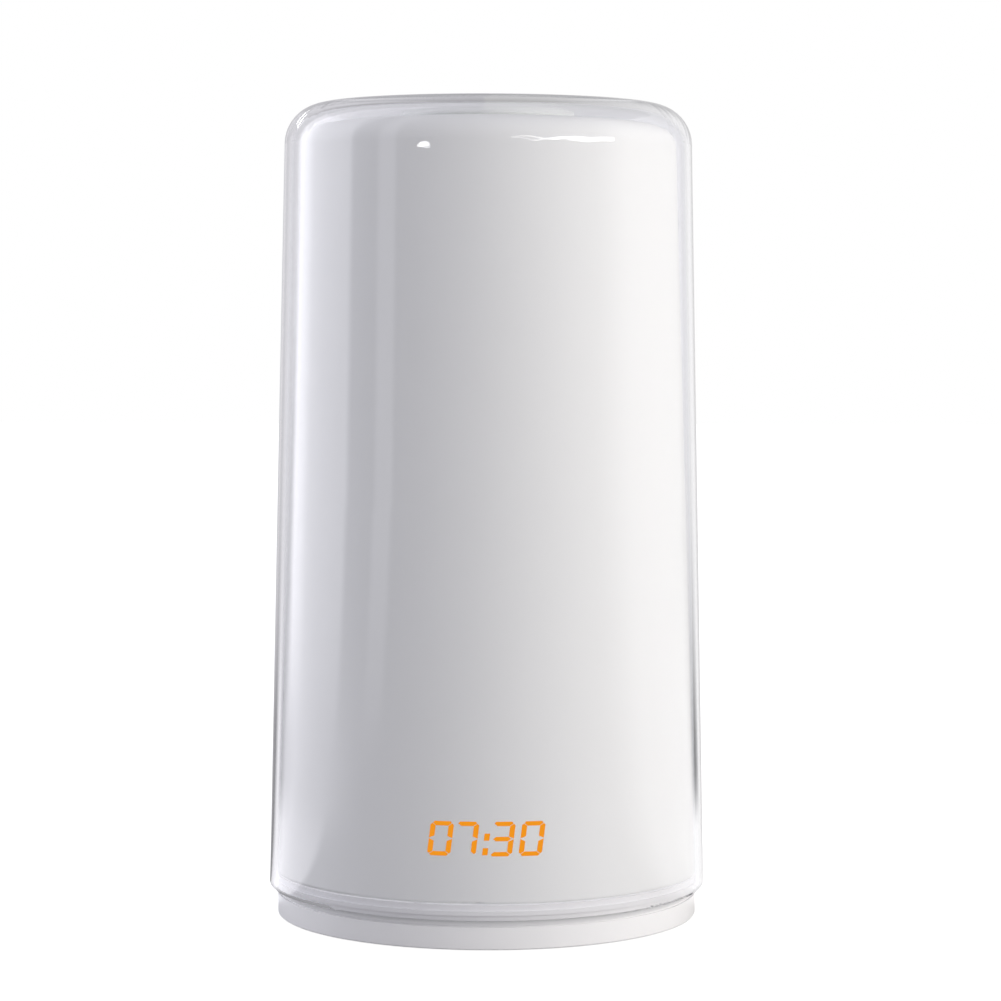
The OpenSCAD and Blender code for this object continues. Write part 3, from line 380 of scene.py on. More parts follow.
# %% [markdown]
# ## Tools for the hand
# Blender's modelling tools work on what is selected. Three helpers stand in for the mouse: one
# selects a whole piece, one picks faces by a test, and one copies a CAD node, merges its loose
# triangles and leaves the copy open for editing.

# %% Select in code
import bmesh


def only(piece):
    """Makes one piece the selected and active object."""
    if bpy.context.object and bpy.context.object.mode != "OBJECT":
        bpy.ops.object.mode_set(mode="OBJECT")
    bpy.ops.object.select_all(action="DESELECT")
    piece.select_set(True)
    bpy.context.view_layer.objects.active = piece


def pick_faces(test):
    """In edit mode, selects the faces for which test(face) is true, and gives their number."""
    mesh = bmesh.from_edit_mesh(bpy.context.object.data)
    bpy.ops.mesh.select_mode(type="FACE")
    bpy.ops.mesh.select_all(action="DESELECT")
    for face in mesh.faces:
        face.select_set(test(face))
    bmesh.update_edit_mesh(bpy.context.object.data)
    return sum(face.select for face in mesh.faces)


def copy_of(node, name):
    """A copy of a CAD node with its loose triangles merged, in edit mode with all selected."""
    only(nodes[node])
    bpy.ops.object.duplicate()
    piece = bpy.context.object
    piece.name = piece.data.name = name
    for label in [key for key in piece.keys() if key.startswith("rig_")]:
        del piece[label]
    bpy.ops.mesh.customdata_custom_splitnormals_clear()
    bpy.ops.object.mode_set(mode="EDIT")
    bpy.ops.mesh.select_all(action="SELECT")
    bpy.ops.mesh.remove_doubles(threshold=1e-6)
    return piece


print("ready to model")

# %% Lay the lit bars on the shade
GUIDE_FRONTS = -0.052  # only the guides' front faces lie further forward than this
digit_film = copy_of("lit_light_guides", "digit_film")
kept = pick_faces(
    lambda face: face.normal.y < -0.9 and face.calc_center_median().y < GUIDE_FRONTS)
bpy.ops.mesh.select_all(action="INVERT")
bpy.ops.mesh.delete(type="FACE")
bpy.ops.mesh.select_all(action="SELECT")
bpy.ops.mesh.subdivide(number_cuts=3)
bpy.ops.transform.translate(value=(0, -4 * MM, 0))  # clear of the shade, to be laid back on it
bpy.ops.object.mode_set(mode="OBJECT")
wrap = digit_film.modifiers.new("on the shade", "SHRINKWRAP")
wrap.target = nodes["diffuser"]
wrap.wrap_method = "PROJECT"
wrap.use_project_y = True
wrap.use_negative_direction = False
wrap.use_positive_direction = True
bpy.ops.object.modifier_apply(modifier=wrap.name)
film = digit_film.modifiers.new("film", "SOLIDIFY")
film.thickness = 0.06 * MM
film.offset = 0.4
bpy.ops.object.modifier_apply(modifier=film.name)
for slot in digit_film.material_slots:
    slot.material = orange_light
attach(digit_film, "lamp")
print("lit faces kept:", kept, "film faces:", len(digit_film.data.polygons))

# %% [markdown]
# ## Small parts
# The rest of the model is small parts that nobody would draw in the CAD model: drops of
# phosphor, legs, pads and inked marks. They are made as by hand, from a primitive that is
# extruded, cut and bevelled. Five helpers keep the cells short: one names a new primitive and
# fixes its size in its mesh, one extrudes, one rounds its edges, one copies it to its places, and
# one gives it a finish and a body to ride on.


# %% Helpers for small parts
def begin(name):
    """Names the primitive just added and fixes its place and size in its mesh."""
    piece = bpy.context.object
    piece.name = piece.data.name = name
    only(piece)
    bpy.ops.object.transform_apply(location=True, rotation=True, scale=True)
    return piece


def push(x, y, z):
    """In edit mode, extrudes what is selected and moves it, in mm."""
    bpy.ops.mesh.extrude_region_move(TRANSFORM_OT_translate={"value": (x * MM, y * MM, z * MM)})


def rounded(piece, width_mm, segments=2):
    """Rounds the sharp edges of a piece with a bevel, and smooths it."""
    only(piece)
    bevel = piece.modifiers.new("edges", "BEVEL")
    bevel.width = width_mm * MM
    bevel.segments = segments
    bevel.limit_method = "ANGLE"
    bevel.angle_limit = math.radians(40)
    bpy.ops.object.modifier_apply(modifier=bevel.name)
    bpy.ops.object.shade_smooth_by_angle(angle=math.radians(40))


def spread(piece, places):
    """Copies a piece to places of x, y, z in mm and a turn about Z in degrees, as one piece."""
    name, copies = piece.name, []
    for x, y, z, turn in places:
        only(piece)
        bpy.ops.object.duplicate()
        place = Matrix.Translation((x * MM, y * MM, z * MM))
        bpy.context.object.matrix_world = place @ Matrix.Rotation(math.radians(turn), 4, "Z")
        copies.append(bpy.context.object)
    bpy.data.objects.remove(piece)
    only(copies[0])
    for copy in copies:
        copy.select_set(True)
    if len(copies) > 1:
        bpy.ops.object.join()
    return begin(name)


def dress(piece, body, slot, *materials):
    """Gives a new piece its finish and its body, and prints its size; its slot is not used."""
    for material in materials:
        piece.data.materials.append(material)
    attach(piece, body)
    size = [round(v * 1000, 2) for v in piece.dimensions]
    print(piece.name, "on", body, "|", len(piece.data.polygons), "faces |", size, "mm")


print("helpers ready")

# %% [markdown]
# ## Phosphor drops
# Each white lamp on the column is a small reflector cup, filled with clear silicone that holds
# yellow phosphor. Surface tension gives the filling a low dome. A sphere cut in half and pressed
# flat has that shape, and with sixteen sides it stays light enough for fifty-four copies.

# %% Fill the cups of the lamps
ppa = moulded("White PPA, satin", "F4F4F0", 0.36, 0.3, 0.004, ior=1.6)
paint(ppa, "led_chips")
CUP_RADIUS, FLATNESS = 2.05, 0.34
CUP_FLOOR, FIRST_LAMP, LAMP_STEP = 12.6, 60.11, 146 / 9  # from the axis, from the table, and apart
bpy.ops.mesh.primitive_uv_sphere_add(segments=16, ring_count=8, radius=CUP_RADIUS * MM)
drop = begin("phosphor_drops")
bpy.ops.object.mode_set(mode="EDIT")
bpy.ops.mesh.select_all(action="SELECT")
bpy.ops.mesh.bisect(plane_co=(0, 0, 0), plane_no=(0, 0, 1), clear_inner=True, use_fill=True)
bpy.ops.mesh.select_all(action="SELECT")
bpy.ops.transform.resize(value=(1, 1, FLATNESS), center_override=(0, 0, 0))
bpy.ops.object.mode_set(mode="OBJECT")
drop.rotation_euler = (math.radians(-90), 0, 0)
drop = begin("phosphor_drops")  # again, to fix the turn in the mesh as well
bpy.ops.object.shade_smooth_by_angle(angle=math.radians(40))
places = []
for side in range(6):
    turn = math.radians(60 * side)
    for lamp in range(9):
        x, y = -CUP_FLOOR * math.sin(turn), CUP_FLOOR * math.cos(turn)
        places.append((x, y, FIRST_LAMP + LAMP_STEP * lamp, 60 * side))
dress(spread(drop, places), "lamp", "led_yellow", phosphor)

# %% [markdown]
# ## Resistors
# A chip resistor is a black ceramic block with a tinned cap on each end, and solder that has
# climbed up to the caps. The block is a cube. Its ends are extruded a little wider for the caps,
# and once more, low and flat, for the solder. Two materials are assigned to faces by their place.

# %% Solder resistors to the main board
tin = metal("Tin solder, reflowed", "C4C6C9", 0.24, 0.4, (1, 1, 1))
BOARD_TOP, MIDDLE = 25.6, 0.25  # the board's face, and a resistor's middle above it
bpy.ops.mesh.primitive_cube_add(
    size=1, location=(0, 0, MIDDLE * MM), scale=(1 * MM, 0.8 * MM, 0.44 * MM)
)
resistor = begin("chip_resistors")
resistor.data.materials.append(epoxy)
resistor.data.materials.append(tin)
bpy.ops.object.mode_set(mode="EDIT")
for side in (-1, 1):
    pick_faces(lambda face: side * face.normal.x > 0.9)
    push(0, 0, 0)
    bpy.ops.transform.resize(value=(1, 1.1, 1.1), center_override=(0, 0, MIDDLE * MM))
    push(side * 0.3, 0, 0)
    push(side * 0.3, 0, -0.16)
    bpy.ops.transform.resize(value=(1, 1, 0.25), center_override=(side * 1.1 * MM, 0, 0.09 * MM))
pick_faces(lambda face: abs(face.calc_center_median().x) > 0.5 * MM)
resistor.active_material_index = 1
bpy.ops.object.material_slot_assign()
bpy.ops.object.mode_set(mode="OBJECT")
rounded(resistor, 0.03, 1)
rows = [(x, y, BOARD_TOP, 0) for y in (-24, 14) for x in range(-12, 13, 3)]
rows += [(7, y, BOARD_TOP, 90) for y in range(-16, 0, 4)]
dress(spread(resistor, rows), "lamp", "chip_epoxy")

# %% [markdown]
# ## Legs
# The chips' legs are moulded black in the CAD model, like their bodies, but real ones are
# tinned. A sleeve is fitted over each leg, with a foot that stands on the board. A cut near its
# lower end divides the outer face, so that only the low part of it can be extruded as the foot.

# %% Tin the legs of the chips
# each chip's place, its width and height in mm, and how many legs are on each side
CHIPS = [(-12, -12, 10, 1.4, 7), (14, -14, 4, 1.5, 4), (14, -4, 4, 1.5, 4),
         (-22, 8, 5, 2.3, 3), (-22, -2, 5, 2.3, 3)]
LEG_STEP, FOOT_CUT = 1.27, 0.18
leg_count = 0
for number, (x, y, width, height, legs) in enumerate(CHIPS, 1):
    tall = height / 2 + 0.03
    bpy.ops.mesh.primitive_cube_add(
        size=1, location=(0.48 * MM, 0, tall / 2 * MM), scale=(0.96 * MM, 0.46 * MM, tall * MM)
    )
    leg = begin(f"chip_legs_{number}")
    bpy.ops.object.mode_set(mode="EDIT")
    bpy.ops.mesh.select_all(action="SELECT")
    bpy.ops.mesh.bisect(plane_co=(0, 0, FOOT_CUT * MM), plane_no=(0, 0, 1))
    pick_faces(lambda face: face.normal.x > 0.9 and face.calc_center_median().z < FOOT_CUT * MM)
    push(0.5, 0, 0)
    bpy.ops.object.mode_set(mode="OBJECT")
    rounded(leg, 0.04, 1)
    row = [(x + side * width / 2, y + (i - (legs - 1) / 2) * LEG_STEP, BOARD_TOP, turn)
           for side, turn in ((-1, 180), (1, 0)) for i in range(legs)]
    dress(spread(leg, row), "lamp", "nickel", tin)
    leg_count += len(row)
print("legs tinned:", leg_count)

# %% [markdown]
# ## Safety vents
# The top of an electrolytic capacitor is bare aluminium inside the rolled edge of its sleeve,
# with a cross pressed into it, which opens if the capacitor overheats. Four cuts through a disc
# mark out the cross. Its faces are inset, to keep the walls steep, and then pushed down.

# %% Press the vents
ARM_HALF, ARM_DEPTH = 0.14, 0.08
bpy.ops.mesh.primitive_cylinder_add(
    vertices=48, radius=2.86 * MM, depth=0.2 * MM, location=(0, 0, 0.1 * MM)
)
vent = begin("capacitor_vents")
bpy.ops.object.mode_set(mode="EDIT")
for plane in ((1, 0, 0), (0, 1, 0)):
    for side in (-ARM_HALF, ARM_HALF):
        bpy.ops.mesh.select_all(action="SELECT")
        bpy.ops.mesh.bisect(plane_co=[side * MM * p for p in plane], plane_no=plane)
cross = pick_faces(lambda face: face.normal.z > 0.9 and min(
    abs(face.calc_center_median().x), abs(face.calc_center_median().y)) < 0.13 * MM)
bpy.ops.mesh.inset(thickness=0.03 * MM)
bpy.ops.transform.translate(value=(0, 0, -ARM_DEPTH * MM))
bpy.ops.object.mode_set(mode="OBJECT")
print("faces in the cross:", cross)
vents = [(15, 24, 35.3, 20), (4, 30, 35.3, 65), (-12, 26, 35.3, 40)]
dress(spread(vent, vents), "lamp", "aluminium", anodised)

# %% [markdown]
# ## Header pins
# The two open headers hold square pins, 0.64 mm thick and 2.5 mm apart, with pointed tips that
# find their way into the plug. The tip is one extrusion of the top face, made narrower.

# %% Press pins into the headers
bpy.ops.mesh.primitive_cube_add(
    size=1, location=(0, 0, 1.6 * MM), scale=(0.64 * MM, 0.64 * MM, 3.2 * MM)
)
pin = begin("header_pins")
bpy.ops.object.mode_set(mode="EDIT")
pick_faces(lambda face: face.normal.z > 0.9)
push(0, 0, 0.5)
bpy.ops.transform.resize(value=(0.45, 0.45, 1), center_override=(0, 0, 3.7 * MM))
bpy.ops.object.mode_set(mode="OBJECT")
rounded(pin, 0.05, 1)
pins = [(x, y + side * 1.25, 27, 0) for x, y in ((-33, 0), (33, -6)) for side in (-1, 1)]
dress(spread(pin, pins), "lamp", "brass", brass)

# %% [markdown]
# ## The speaker's spider
# Behind its cone a speaker has a corrugated disc of resin-stiffened cotton, called the spider. It
# keeps the voice coil centred and lets it move. A ring is extruded outwards again and again, up
# and down by turns, and is then given the thickness of the cloth.

# %% Fold the spider
cotton = moulded("Cotton in phenolic resin", "B98A45", 0.8, 0.35, 0.05, ior=1.55)
COIL_RADIUS, FOLD_WIDTH, FOLD_RISE, FOLDS = 3.05, 0.57, 0.3, 18
bpy.ops.mesh.primitive_circle_add(
    vertices=72, radius=COIL_RADIUS * MM, location=(0, 0, 9.15 * MM)
)
spider = begin("speaker_spider")
bpy.ops.object.mode_set(mode="EDIT")
bpy.ops.mesh.select_mode(type="VERT")  # a bare ring has no faces to select
bpy.ops.mesh.select_all(action="SELECT")
radius = COIL_RADIUS
for fold in range(1, FOLDS + 1):
    wider = COIL_RADIUS + FOLD_WIDTH * fold
    rise = (FOLD_RISE if fold % 4 in (1, 2) else -FOLD_RISE) if 1 < fold < FOLDS else 0
    bpy.ops.mesh.extrude_region_move(TRANSFORM_OT_translate={"value": (0, 0, 0)})
    bpy.ops.transform.resize(value=(wider / radius, wider / radius, 1), center_override=(0, 0, 0))
    bpy.ops.transform.translate(value=(0, 0, rise * MM))
    radius = wider
bpy.ops.object.mode_set(mode="OBJECT")
cloth = spider.modifiers.new("cloth", "SOLIDIFY")
cloth.thickness = 0.16 * MM
bpy.ops.object.modifier_apply(modifier=cloth.name)
bpy.ops.object.shade_smooth_by_angle(angle=math.radians(60))
dress(spread(spider, [(0, -16, 0, 0)]), "lamp", "paper_cone", cotton)

# %% [markdown]
# ## The cell's gasket
# A coin cell is a steel can crimped around a smaller lid. A thin nylon ring between them seals
# the cell and keeps the two poles apart. A torus is cut through its middle and flattened.

# %% Seal the coin cell
bpy.ops.mesh.primitive_torus_add(
    major_radius=9.02 * MM, minor_radius=0.19 * MM, major_segments=72, minor_segments=10
)
gasket = begin("cell_gasket")
bpy.ops.object.mode_set(mode="EDIT")
bpy.ops.mesh.select_all(action="SELECT")
bpy.ops.mesh.bisect(plane_co=(0, 0, 0), plane_no=(0, 0, 1), clear_inner=True)
bpy.ops.mesh.select_all(action="SELECT")
bpy.ops.mesh.region_to_loop()
bpy.ops.mesh.bridge_edge_loops()
bpy.ops.object.mode_set(mode="OBJECT")
bpy.ops.object.shade_smooth_by_angle(angle=math.radians(50))
dress(spread(gasket, [(-31, 14, 7.2, 0)]), "lamp", "connector_nylon", nylon)

# %% [markdown]
# ## Marks on the keys
# The four ring keys have marks sunk into their tops, which are filled with grey ink so that a
# finger and an eye can both find them. Plus and minus grow out of one small block, face by face,
# the time key has two of the minus bars, and the alarm key has a ring. Each filling rides on its
# own key and lies a little below the surface.

# %% Fill the marks with ink
ink = moulded("Pad-printing ink, grey", "85878D", 0.5, 0.2, 0.004, ior=1.5)
MARK_FLOOR, INK_DEPTH = 223.65, 0.12
BAR_WIDTH, ARM_LENGTH, RING_INSIDE, RING_OUTSIDE = 0.56, 1.2, 0.92, 1.48


def mark_bars(name, sides):
    """A block in the middle of a mark, with an arm extruded towards each side."""
    bpy.ops.mesh.primitive_cube_add(
        size=1, location=(0, 0, INK_DEPTH / 2 * MM),
        scale=(BAR_WIDTH * MM, BAR_WIDTH * MM, INK_DEPTH * MM),
    )
    piece = begin(name)
    bpy.ops.object.mode_set(mode="EDIT")
    for x, y in sides:
        pick_faces(lambda face: face.normal.x * x + face.normal.y * y > 0.9
                   and face.calc_center_median().xy.length < 0.4 * MM)
        push(x * ARM_LENGTH, y * ARM_LENGTH, 0)
    bpy.ops.object.mode_set(mode="OBJECT")
    rounded(piece, 0.04)
    return piece


ACROSS, ALONG = [(1, 0), (-1, 0)], [(0, 1), (0, -1)]
plus_ink = spread(mark_bars("plus_mark_ink", ACROSS + ALONG), [(15, 0, MARK_FLOOR, 0)])
dress(plus_ink, "plus", "foot_rubber", ink)
minus_ink = spread(mark_bars("minus_mark_ink", ALONG), [(-15, 0, MARK_FLOOR, 0)])
dress(minus_ink, "minus", "foot_rubber", ink)
time_places = [(0, y, MARK_FLOOR, 0) for y in (14.4, 15.6)]
time_ink = spread(mark_bars("time_mark_ink", ACROSS), time_places)
dress(time_ink, "time", "foot_rubber", ink)
bpy.ops.mesh.primitive_circle_add(vertices=48, radius=RING_INSIDE * MM)
ring = begin("alarm_mark_ink")
bpy.ops.object.mode_set(mode="EDIT")
bpy.ops.mesh.select_mode(type="VERT")
bpy.ops.mesh.select_all(action="SELECT")
push(0, 0, 0)
wider = RING_OUTSIDE / RING_INSIDE
bpy.ops.transform.resize(value=(wider, wider, 1), center_override=(0, 0, 0))
bpy.ops.mesh.select_all(action="SELECT")
push(0, 0, INK_DEPTH)
bpy.ops.mesh.select_all(action="SELECT")
bpy.ops.mesh.normals_make_consistent(inside=False)
bpy.ops.object.mode_set(mode="OBJECT")
rounded(ring, 0.03)
dress(spread(ring, [(0, -15, MARK_FLOOR, 0)]), "alarm", "foot_rubber", ink)

# %% [markdown]
# ## Contacts under the keys
# Pressing a key flattens its silicone dome until a pill of carbon rubber joins two gold pads on
# the board. The pill is a disc with a rounded edge and rides on the key. The pads are a thin disc
# with a strip cut out of its middle, and stay on the board.

# %% Make pills and pads
carbon = moulded("Carbon-filled silicone", "1A1A1B", 0.7, 0.3, 0.01, ior=1.41)
gold = metal("Gold on nickel, immersion", "D8B45C", 0.3, 0.3, (1, 1, 1))
PADS_HEIGHT, PILLS_HEIGHT = 215, 215.89
PAD_DEPTH, PILL_DEPTH, GAP_HALF = 0.03, 0.28, 0.12
# each key's place, and the radius of its pill
KEYS = {"snooze": (0, 0, 1.6), "plus": (15, 0, 1.15), "minus": (-15, 0, 1.15),
        "alarm": (0, -15, 1.15), "time": (0, 15, 1.15)}
for key, (x, y, radius) in KEYS.items():
    bpy.ops.mesh.primitive_cylinder_add(
        vertices=40, radius=radius * MM, depth=PILL_DEPTH * MM,
        location=(0, 0, PILL_DEPTH / 2 * MM),
    )
    pill = begin(f"{key}_pill")
    bpy.ops.object.mode_set(mode="EDIT")
    pick_faces(lambda face: face.normal.z < -0.9)
    bpy.ops.mesh.inset(thickness=0.25 * MM)
    bpy.ops.transform.translate(value=(0, 0, -0.03 * MM))
    bpy.ops.object.mode_set(mode="OBJECT")
    rounded(pill, 0.06)
    dress(spread(pill, [(x, y, PILLS_HEIGHT, 0)]), key, "silicone", carbon)
bpy.ops.mesh.primitive_cylinder_add(
    vertices=40, radius=1.8 * MM, depth=PAD_DEPTH * MM, location=(0, 0, PAD_DEPTH / 2 * MM)
)
pads = begin("contact_pads")
bpy.ops.object.mode_set(mode="EDIT")
for side in (-GAP_HALF, GAP_HALF):
    bpy.ops.mesh.select_all(action="SELECT")
    bpy.ops.mesh.bisect(plane_co=(side * MM, 0, 0), plane_no=(1, 0, 0))
pick_faces(lambda face: abs(face.calc_center_median().x) < 0.11 * MM)
bpy.ops.mesh.delete(type="FACE")
bpy.ops.mesh.select_all(action="SELECT")
bpy.ops.mesh.region_to_loop()
bpy.ops.mesh.edge_face_add()
bpy.ops.object.mode_set(mode="OBJECT")
pad_places = [(x, y, PADS_HEIGHT, 45) for x, y, _ in KEYS.values()]
dress(spread(pads, pad_places), "lamp", "brass", gold)

# %% [markdown]
# ## Soft domes
# The domes are soft, so they can't just ride on a key: a pressed key would cut into them. Each
# one is copied from its CAD node, made a little lower than its 2 mm, and its edges are rounded as
# moulded silicone's are. The copy stays with the lamp, and the CAD node is hidden.

# %% Let the domes flatten
BOARD_FACE, DOME_HEIGHT = 0.215, 2
EASED = 0.985  # a little lower than drawn, so that a dome at rest is clear of its key
for key in KEYS:
    dome = copy_of(f"{key}_dome", f"{key}_dome_soft")
    bpy.ops.transform.resize(value=(1, 1, EASED), center_override=(0, 0, BOARD_FACE))
    bpy.ops.object.mode_set(mode="OBJECT")
    rounded(dome, 0.08)
    dress(dome, "lamp", "silicone")
    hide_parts(f"{key}_dome")
    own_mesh(dome)

# %% [markdown]
# ## The studio
# The lamp stands on plain white paper. The camera sees pure white around it, and matt parts
# get an even, slightly cool light from all sides. Gloss and clear walls show more: a paper
# backdrop straight behind, a gap of grey studio beside it, a tall bright screen on the left,
# white walls at the sides, and the dark room behind the camera, which keeps the front of the
# cover clear. Each direction's brightness is read from a list of angles from the backdrop. There
# is one list for each side of the studio at eye level, one for each side on the floor some way
# off, and one for each side on the floor close to the lamp. A look straight through the clear
# walls, with no mirroring on its way, sees the same pale paper in every other direction, so the
# cover stays clear from the sides and from behind.

# %% The studio in six lists of angle and brightness
BRIGHTEST = 2.2
TINT = {"left": (1, 0.99, 1.03), "right": (1, 0.995, 0.995)}  # daylight, and a warmer lamp
SEEN_THROUGH = 0.78  # the paper all round, seen straight through the clear walls
BESIDE = (36, 48)  # the degrees from the backdrop over which that paper takes over
CEILING = (0.3, 0.9)  # the steepness of look over which the light fades to half overhead
EYE_LEVEL = {
    "left": [(0, 0.66), (12, 0.68), (14, 0.8), (17, 0.85), (20, 0.62), (25, 0.6), (28, 0.78),
             (32, 0.75), (36, 0.45), (40, 0.35), (44, 0.55), (46, 0.65), (49, 2.1), (58, 1.95),
             (66, 1.35), (76, 1.3), (96.5, 1.5), (98.5, 0.3), (115, 0.2), (117, 0.85), (126, 0.85),
             (128, 0.15), (180, 0.12)],
    "right": [(0, 0.75), (11, 0.75), (14, 0.8), (18, 0.95), (23, 1), (27, 0.93), (31, 0.82),
              (36, 0.72), (42, 0.75), (50, 1), (96, 0.9), (118, 0.2), (180, 0.12)],
}
FLOOR_LEVEL = {
    "left": [(0, 0.66), (11, 0.55), (14, 0.3), (21, 0.25), (25, 0.38), (27, 0.75), (29, 0.97),
             (32, 0.95), (35, 0.65), (38, 0.28), (41, 0.28), (44, 0.7), (60, 1.1), (95, 0.9),
             (120, 0.2), (180, 0.12)],
    "right": [(0, 0.9), (8, 0.65), (13, 0.7), (17, 1), (22, 1), (23.5, 0.85), (25, 0.55),
              (27, 0.32), (30, 0.22), (34, 0.2), (37, 0.3), (40, 0.7), (43, 1), (50, 1.05),
              (95, 0.9), (120, 0.2), (180, 0.12)],
}
NEAR_LEVEL = {
    "left": [(0, 0.9), (10, 0.75), (14, 0.3), (21, 0.2), (25, 0.4), (27.5, 0.9), (42, 1),
             (48, 1.3), (94, 1.3), (100, 0.3), (180, 0.12)],
    "right": [(0, 0.85), (8, 0.65), (14, 0.8), (18, 1), (60, 1.1), (95, 0.9), (120, 0.2),
              (180, 0.12)],
}
LEVELS = [NEAR_LEVEL, FLOOR_LEVEL, EYE_LEVEL]
BLENDS = [(-0.62, -0.34), (-0.3, 0.03)]  # the steepness of look at which one gives way to the next


def grey(side, value):
    """A brightness on one side of the studio, as a colour for a ramp."""
    return [part * value / BRIGHTEST for part in TINT[side]] + [1]


def in_mirrors(tree, ray):
    """1 for a ray that gloss has thrown or a clear wall has bent, else 0."""
    return add(tree, "ShaderNodeMath", {
        0: ray.outputs["Is Glossy Ray"], 1: ray.outputs["Is Transmission Ray"],
    }, operation="MAXIMUM").outputs[0]


def surroundings(tree, direction, ray):
    """What such a ray meets in a direction. The ray is the tree's Light Path node."""
    unit = add(tree, "ShaderNodeVectorMath", {0: direction}, operation="NORMALIZE")
    part = add(tree, "ShaderNodeSeparateXYZ", {"Vector": unit.outputs["Vector"]})
    side = add(tree, "ShaderNodeMath", {0: part.outputs["X"]}, operation="ABSOLUTE")
    angle = add(tree, "ShaderNodeMath", {0: side.outputs[0], 1: part.outputs["Y"]},
                operation="ARCTAN2")
    turn = add(tree, "ShaderNodeMath", {0: angle.outputs[0], 1: math.pi}, operation="DIVIDE")
    on_right = add(tree, "ShaderNodeMath", {0: part.outputs["X"], 1: 0}, operation="GREATER_THAN")
    levels = []
    for level in LEVELS:
        sides = []
        for name in ("left", "right"):
            ramp = add(tree, "ShaderNodeValToRGB", {"Fac": turn.outputs[0]})
            stops = ramp.color_ramp.elements
            first, *middle, last = level[name]
            stops[0].color = grey(name, first[1])
            stops[1].color = grey(name, last[1])
            for degrees, value in middle:
                stops.new(degrees / 180).color = grey(name, value)
            sides.append(ramp.outputs["Color"])
        levels.append(add(tree, "ShaderNodeMix", {
            "Factor": on_right.outputs[0], "A": sides[0], "B": sides[1],
        }, data_type="RGBA").outputs["Result"])
    blend = levels[0]
    for level, (low, high) in zip(levels[1:], BLENDS):
        raised = add(tree, "ShaderNodeMapRange", {
            "Value": part.outputs["Z"], "From Min": low, "From Max": high,
        }, interpolation_type="SMOOTHSTEP")
        blend = add(tree, "ShaderNodeMix", {
            "Factor": raised.outputs["Result"], "A": blend, "B": level,
        }, data_type="RGBA").outputs["Result"]
    beside = add(tree, "ShaderNodeMapRange", {
        "Value": turn.outputs[0], "From Min": BESIDE[0] / 180, "From Max": BESIDE[1] / 180,
    }, interpolation_type="SMOOTHSTEP")
    unmirrored = add(tree, "ShaderNodeMath", {  # 1 while nothing glossy has thrown the ray
        0: ray.outputs["Glossy Depth"], 1: 0.5,
    }, operation="LESS_THAN")
    seen_through = add(tree, "ShaderNodeMath", {
        0: beside.outputs["Result"], 1: unmirrored.outputs[0],
    }, operation="MULTIPLY")
    blend = add(tree, "ShaderNodeMix", {
        "Factor": seen_through.outputs[0], "A": blend, "B": grey("left", SEEN_THROUGH),
    }, data_type="RGBA").outputs["Result"]
    overhead = add(tree, "ShaderNodeMapRange", {
        "Value": part.outputs["Z"], "From Min": CEILING[0], "From Max": CEILING[1],
        "To Min": BRIGHTEST, "To Max": 0.5 * BRIGHTEST,
    })
    scaled = add(tree, "ShaderNodeVectorMath", {
        0: blend, "Scale": overhead.outputs["Result"],
    }, operation="SCALE")
    return scaled.outputs["Vector"]


world = bpy.data.worlds.new("white_studio")
scene.world = world
world.use_nodes = True
sky = world.node_tree
sky.nodes.clear()
SIDE_LIGHT, TOP_LIGHT = (0.98, 0.98, 1.02, 1), (0.56, 0.56, 0.59, 1)  # what matt parts get
ray = add(sky, "ShaderNodeLightPath")
toward = add(sky, "ShaderNodeTexCoord").outputs["Generated"]
height = add(sky, "ShaderNodeSeparateXYZ", {"Vector": toward})
falloff = add(sky, "ShaderNodeMapRange", {"Value": height.outputs["Z"]})
evenly = add(sky, "ShaderNodeMix", {
    "Factor": falloff.outputs["Result"], "A": SIDE_LIGHT, "B": TOP_LIGHT,
}, data_type="RGBA")
seen = add(sky, "ShaderNodeMix", {
    "Factor": in_mirrors(sky, ray), "A": evenly.outputs["Result"],
    "B": surroundings(sky, toward, ray),
}, data_type="RGBA")
backdrop = add(sky, "ShaderNodeMix", {
    "Factor": ray.outputs["Is Camera Ray"], "A": seen.outputs["Result"], "B": (1, 1, 1, 1),
}, data_type="RGBA")
light = add(sky, "ShaderNodeBackground", {"Color": backdrop.outputs["Result"], "Strength": 1})
add(sky, "ShaderNodeOutputWorld", {"Surface": light.outputs[0]})
print("world:", world.name)

# %% [markdown]
# ## The floor
# To a camera and to matt surfaces the floor is white paper that takes the lamp's shadow. To
# gloss and clear walls it carries on the studio's own lists, so that no line shows in the cover
# where the floor ends and the walls begin. The angles are read from the cover's own edge, because
# that is where its wall bends the view, and a line then keeps its distance from the outline.

# %% Lay the floor
# the point that angles are read from: out from the lamp's axis, behind it, and above the floor
COVER_EDGE, BEHIND, BELOW = 0.057, 0.01, 0.11
LEAST = 0.0001  # keeps a spot under the lamp from having no side at all
bpy.ops.object.select_all(action="DESELECT")
bpy.ops.mesh.primitive_plane_add(size=8, location=(0, 0, 0))
floor = bpy.context.object
floor.name = "studio_floor"
paper_floor = bpy.data.materials.new("White paper sweep")
paper_floor.use_nodes = True
tree = paper_floor.node_tree
tree.nodes.clear()
ray = add(tree, "ShaderNodeLightPath")
spot = add(tree, "ShaderNodeSeparateXYZ", {"Vector": own_place(tree)})
sideways = add(tree, "ShaderNodeMath", {0: spot.outputs["X"]}, operation="ABSOLUTE")
beyond = add(tree, "ShaderNodeMath", {0: sideways.outputs[0], 1: COVER_EDGE},
             operation="SUBTRACT")
outside = add(tree, "ShaderNodeMath", {0: beyond.outputs[0], 1: LEAST}, operation="MAXIMUM")
signed = add(tree, "ShaderNodeMath", {0: spot.outputs["X"]}, operation="SIGN")
across = add(tree, "ShaderNodeMath", {0: outside.outputs[0], 1: signed.outputs[0]},
             operation="MULTIPLY")
back = add(tree, "ShaderNodeMath", {0: spot.outputs["Y"], 1: BEHIND}, operation="SUBTRACT")
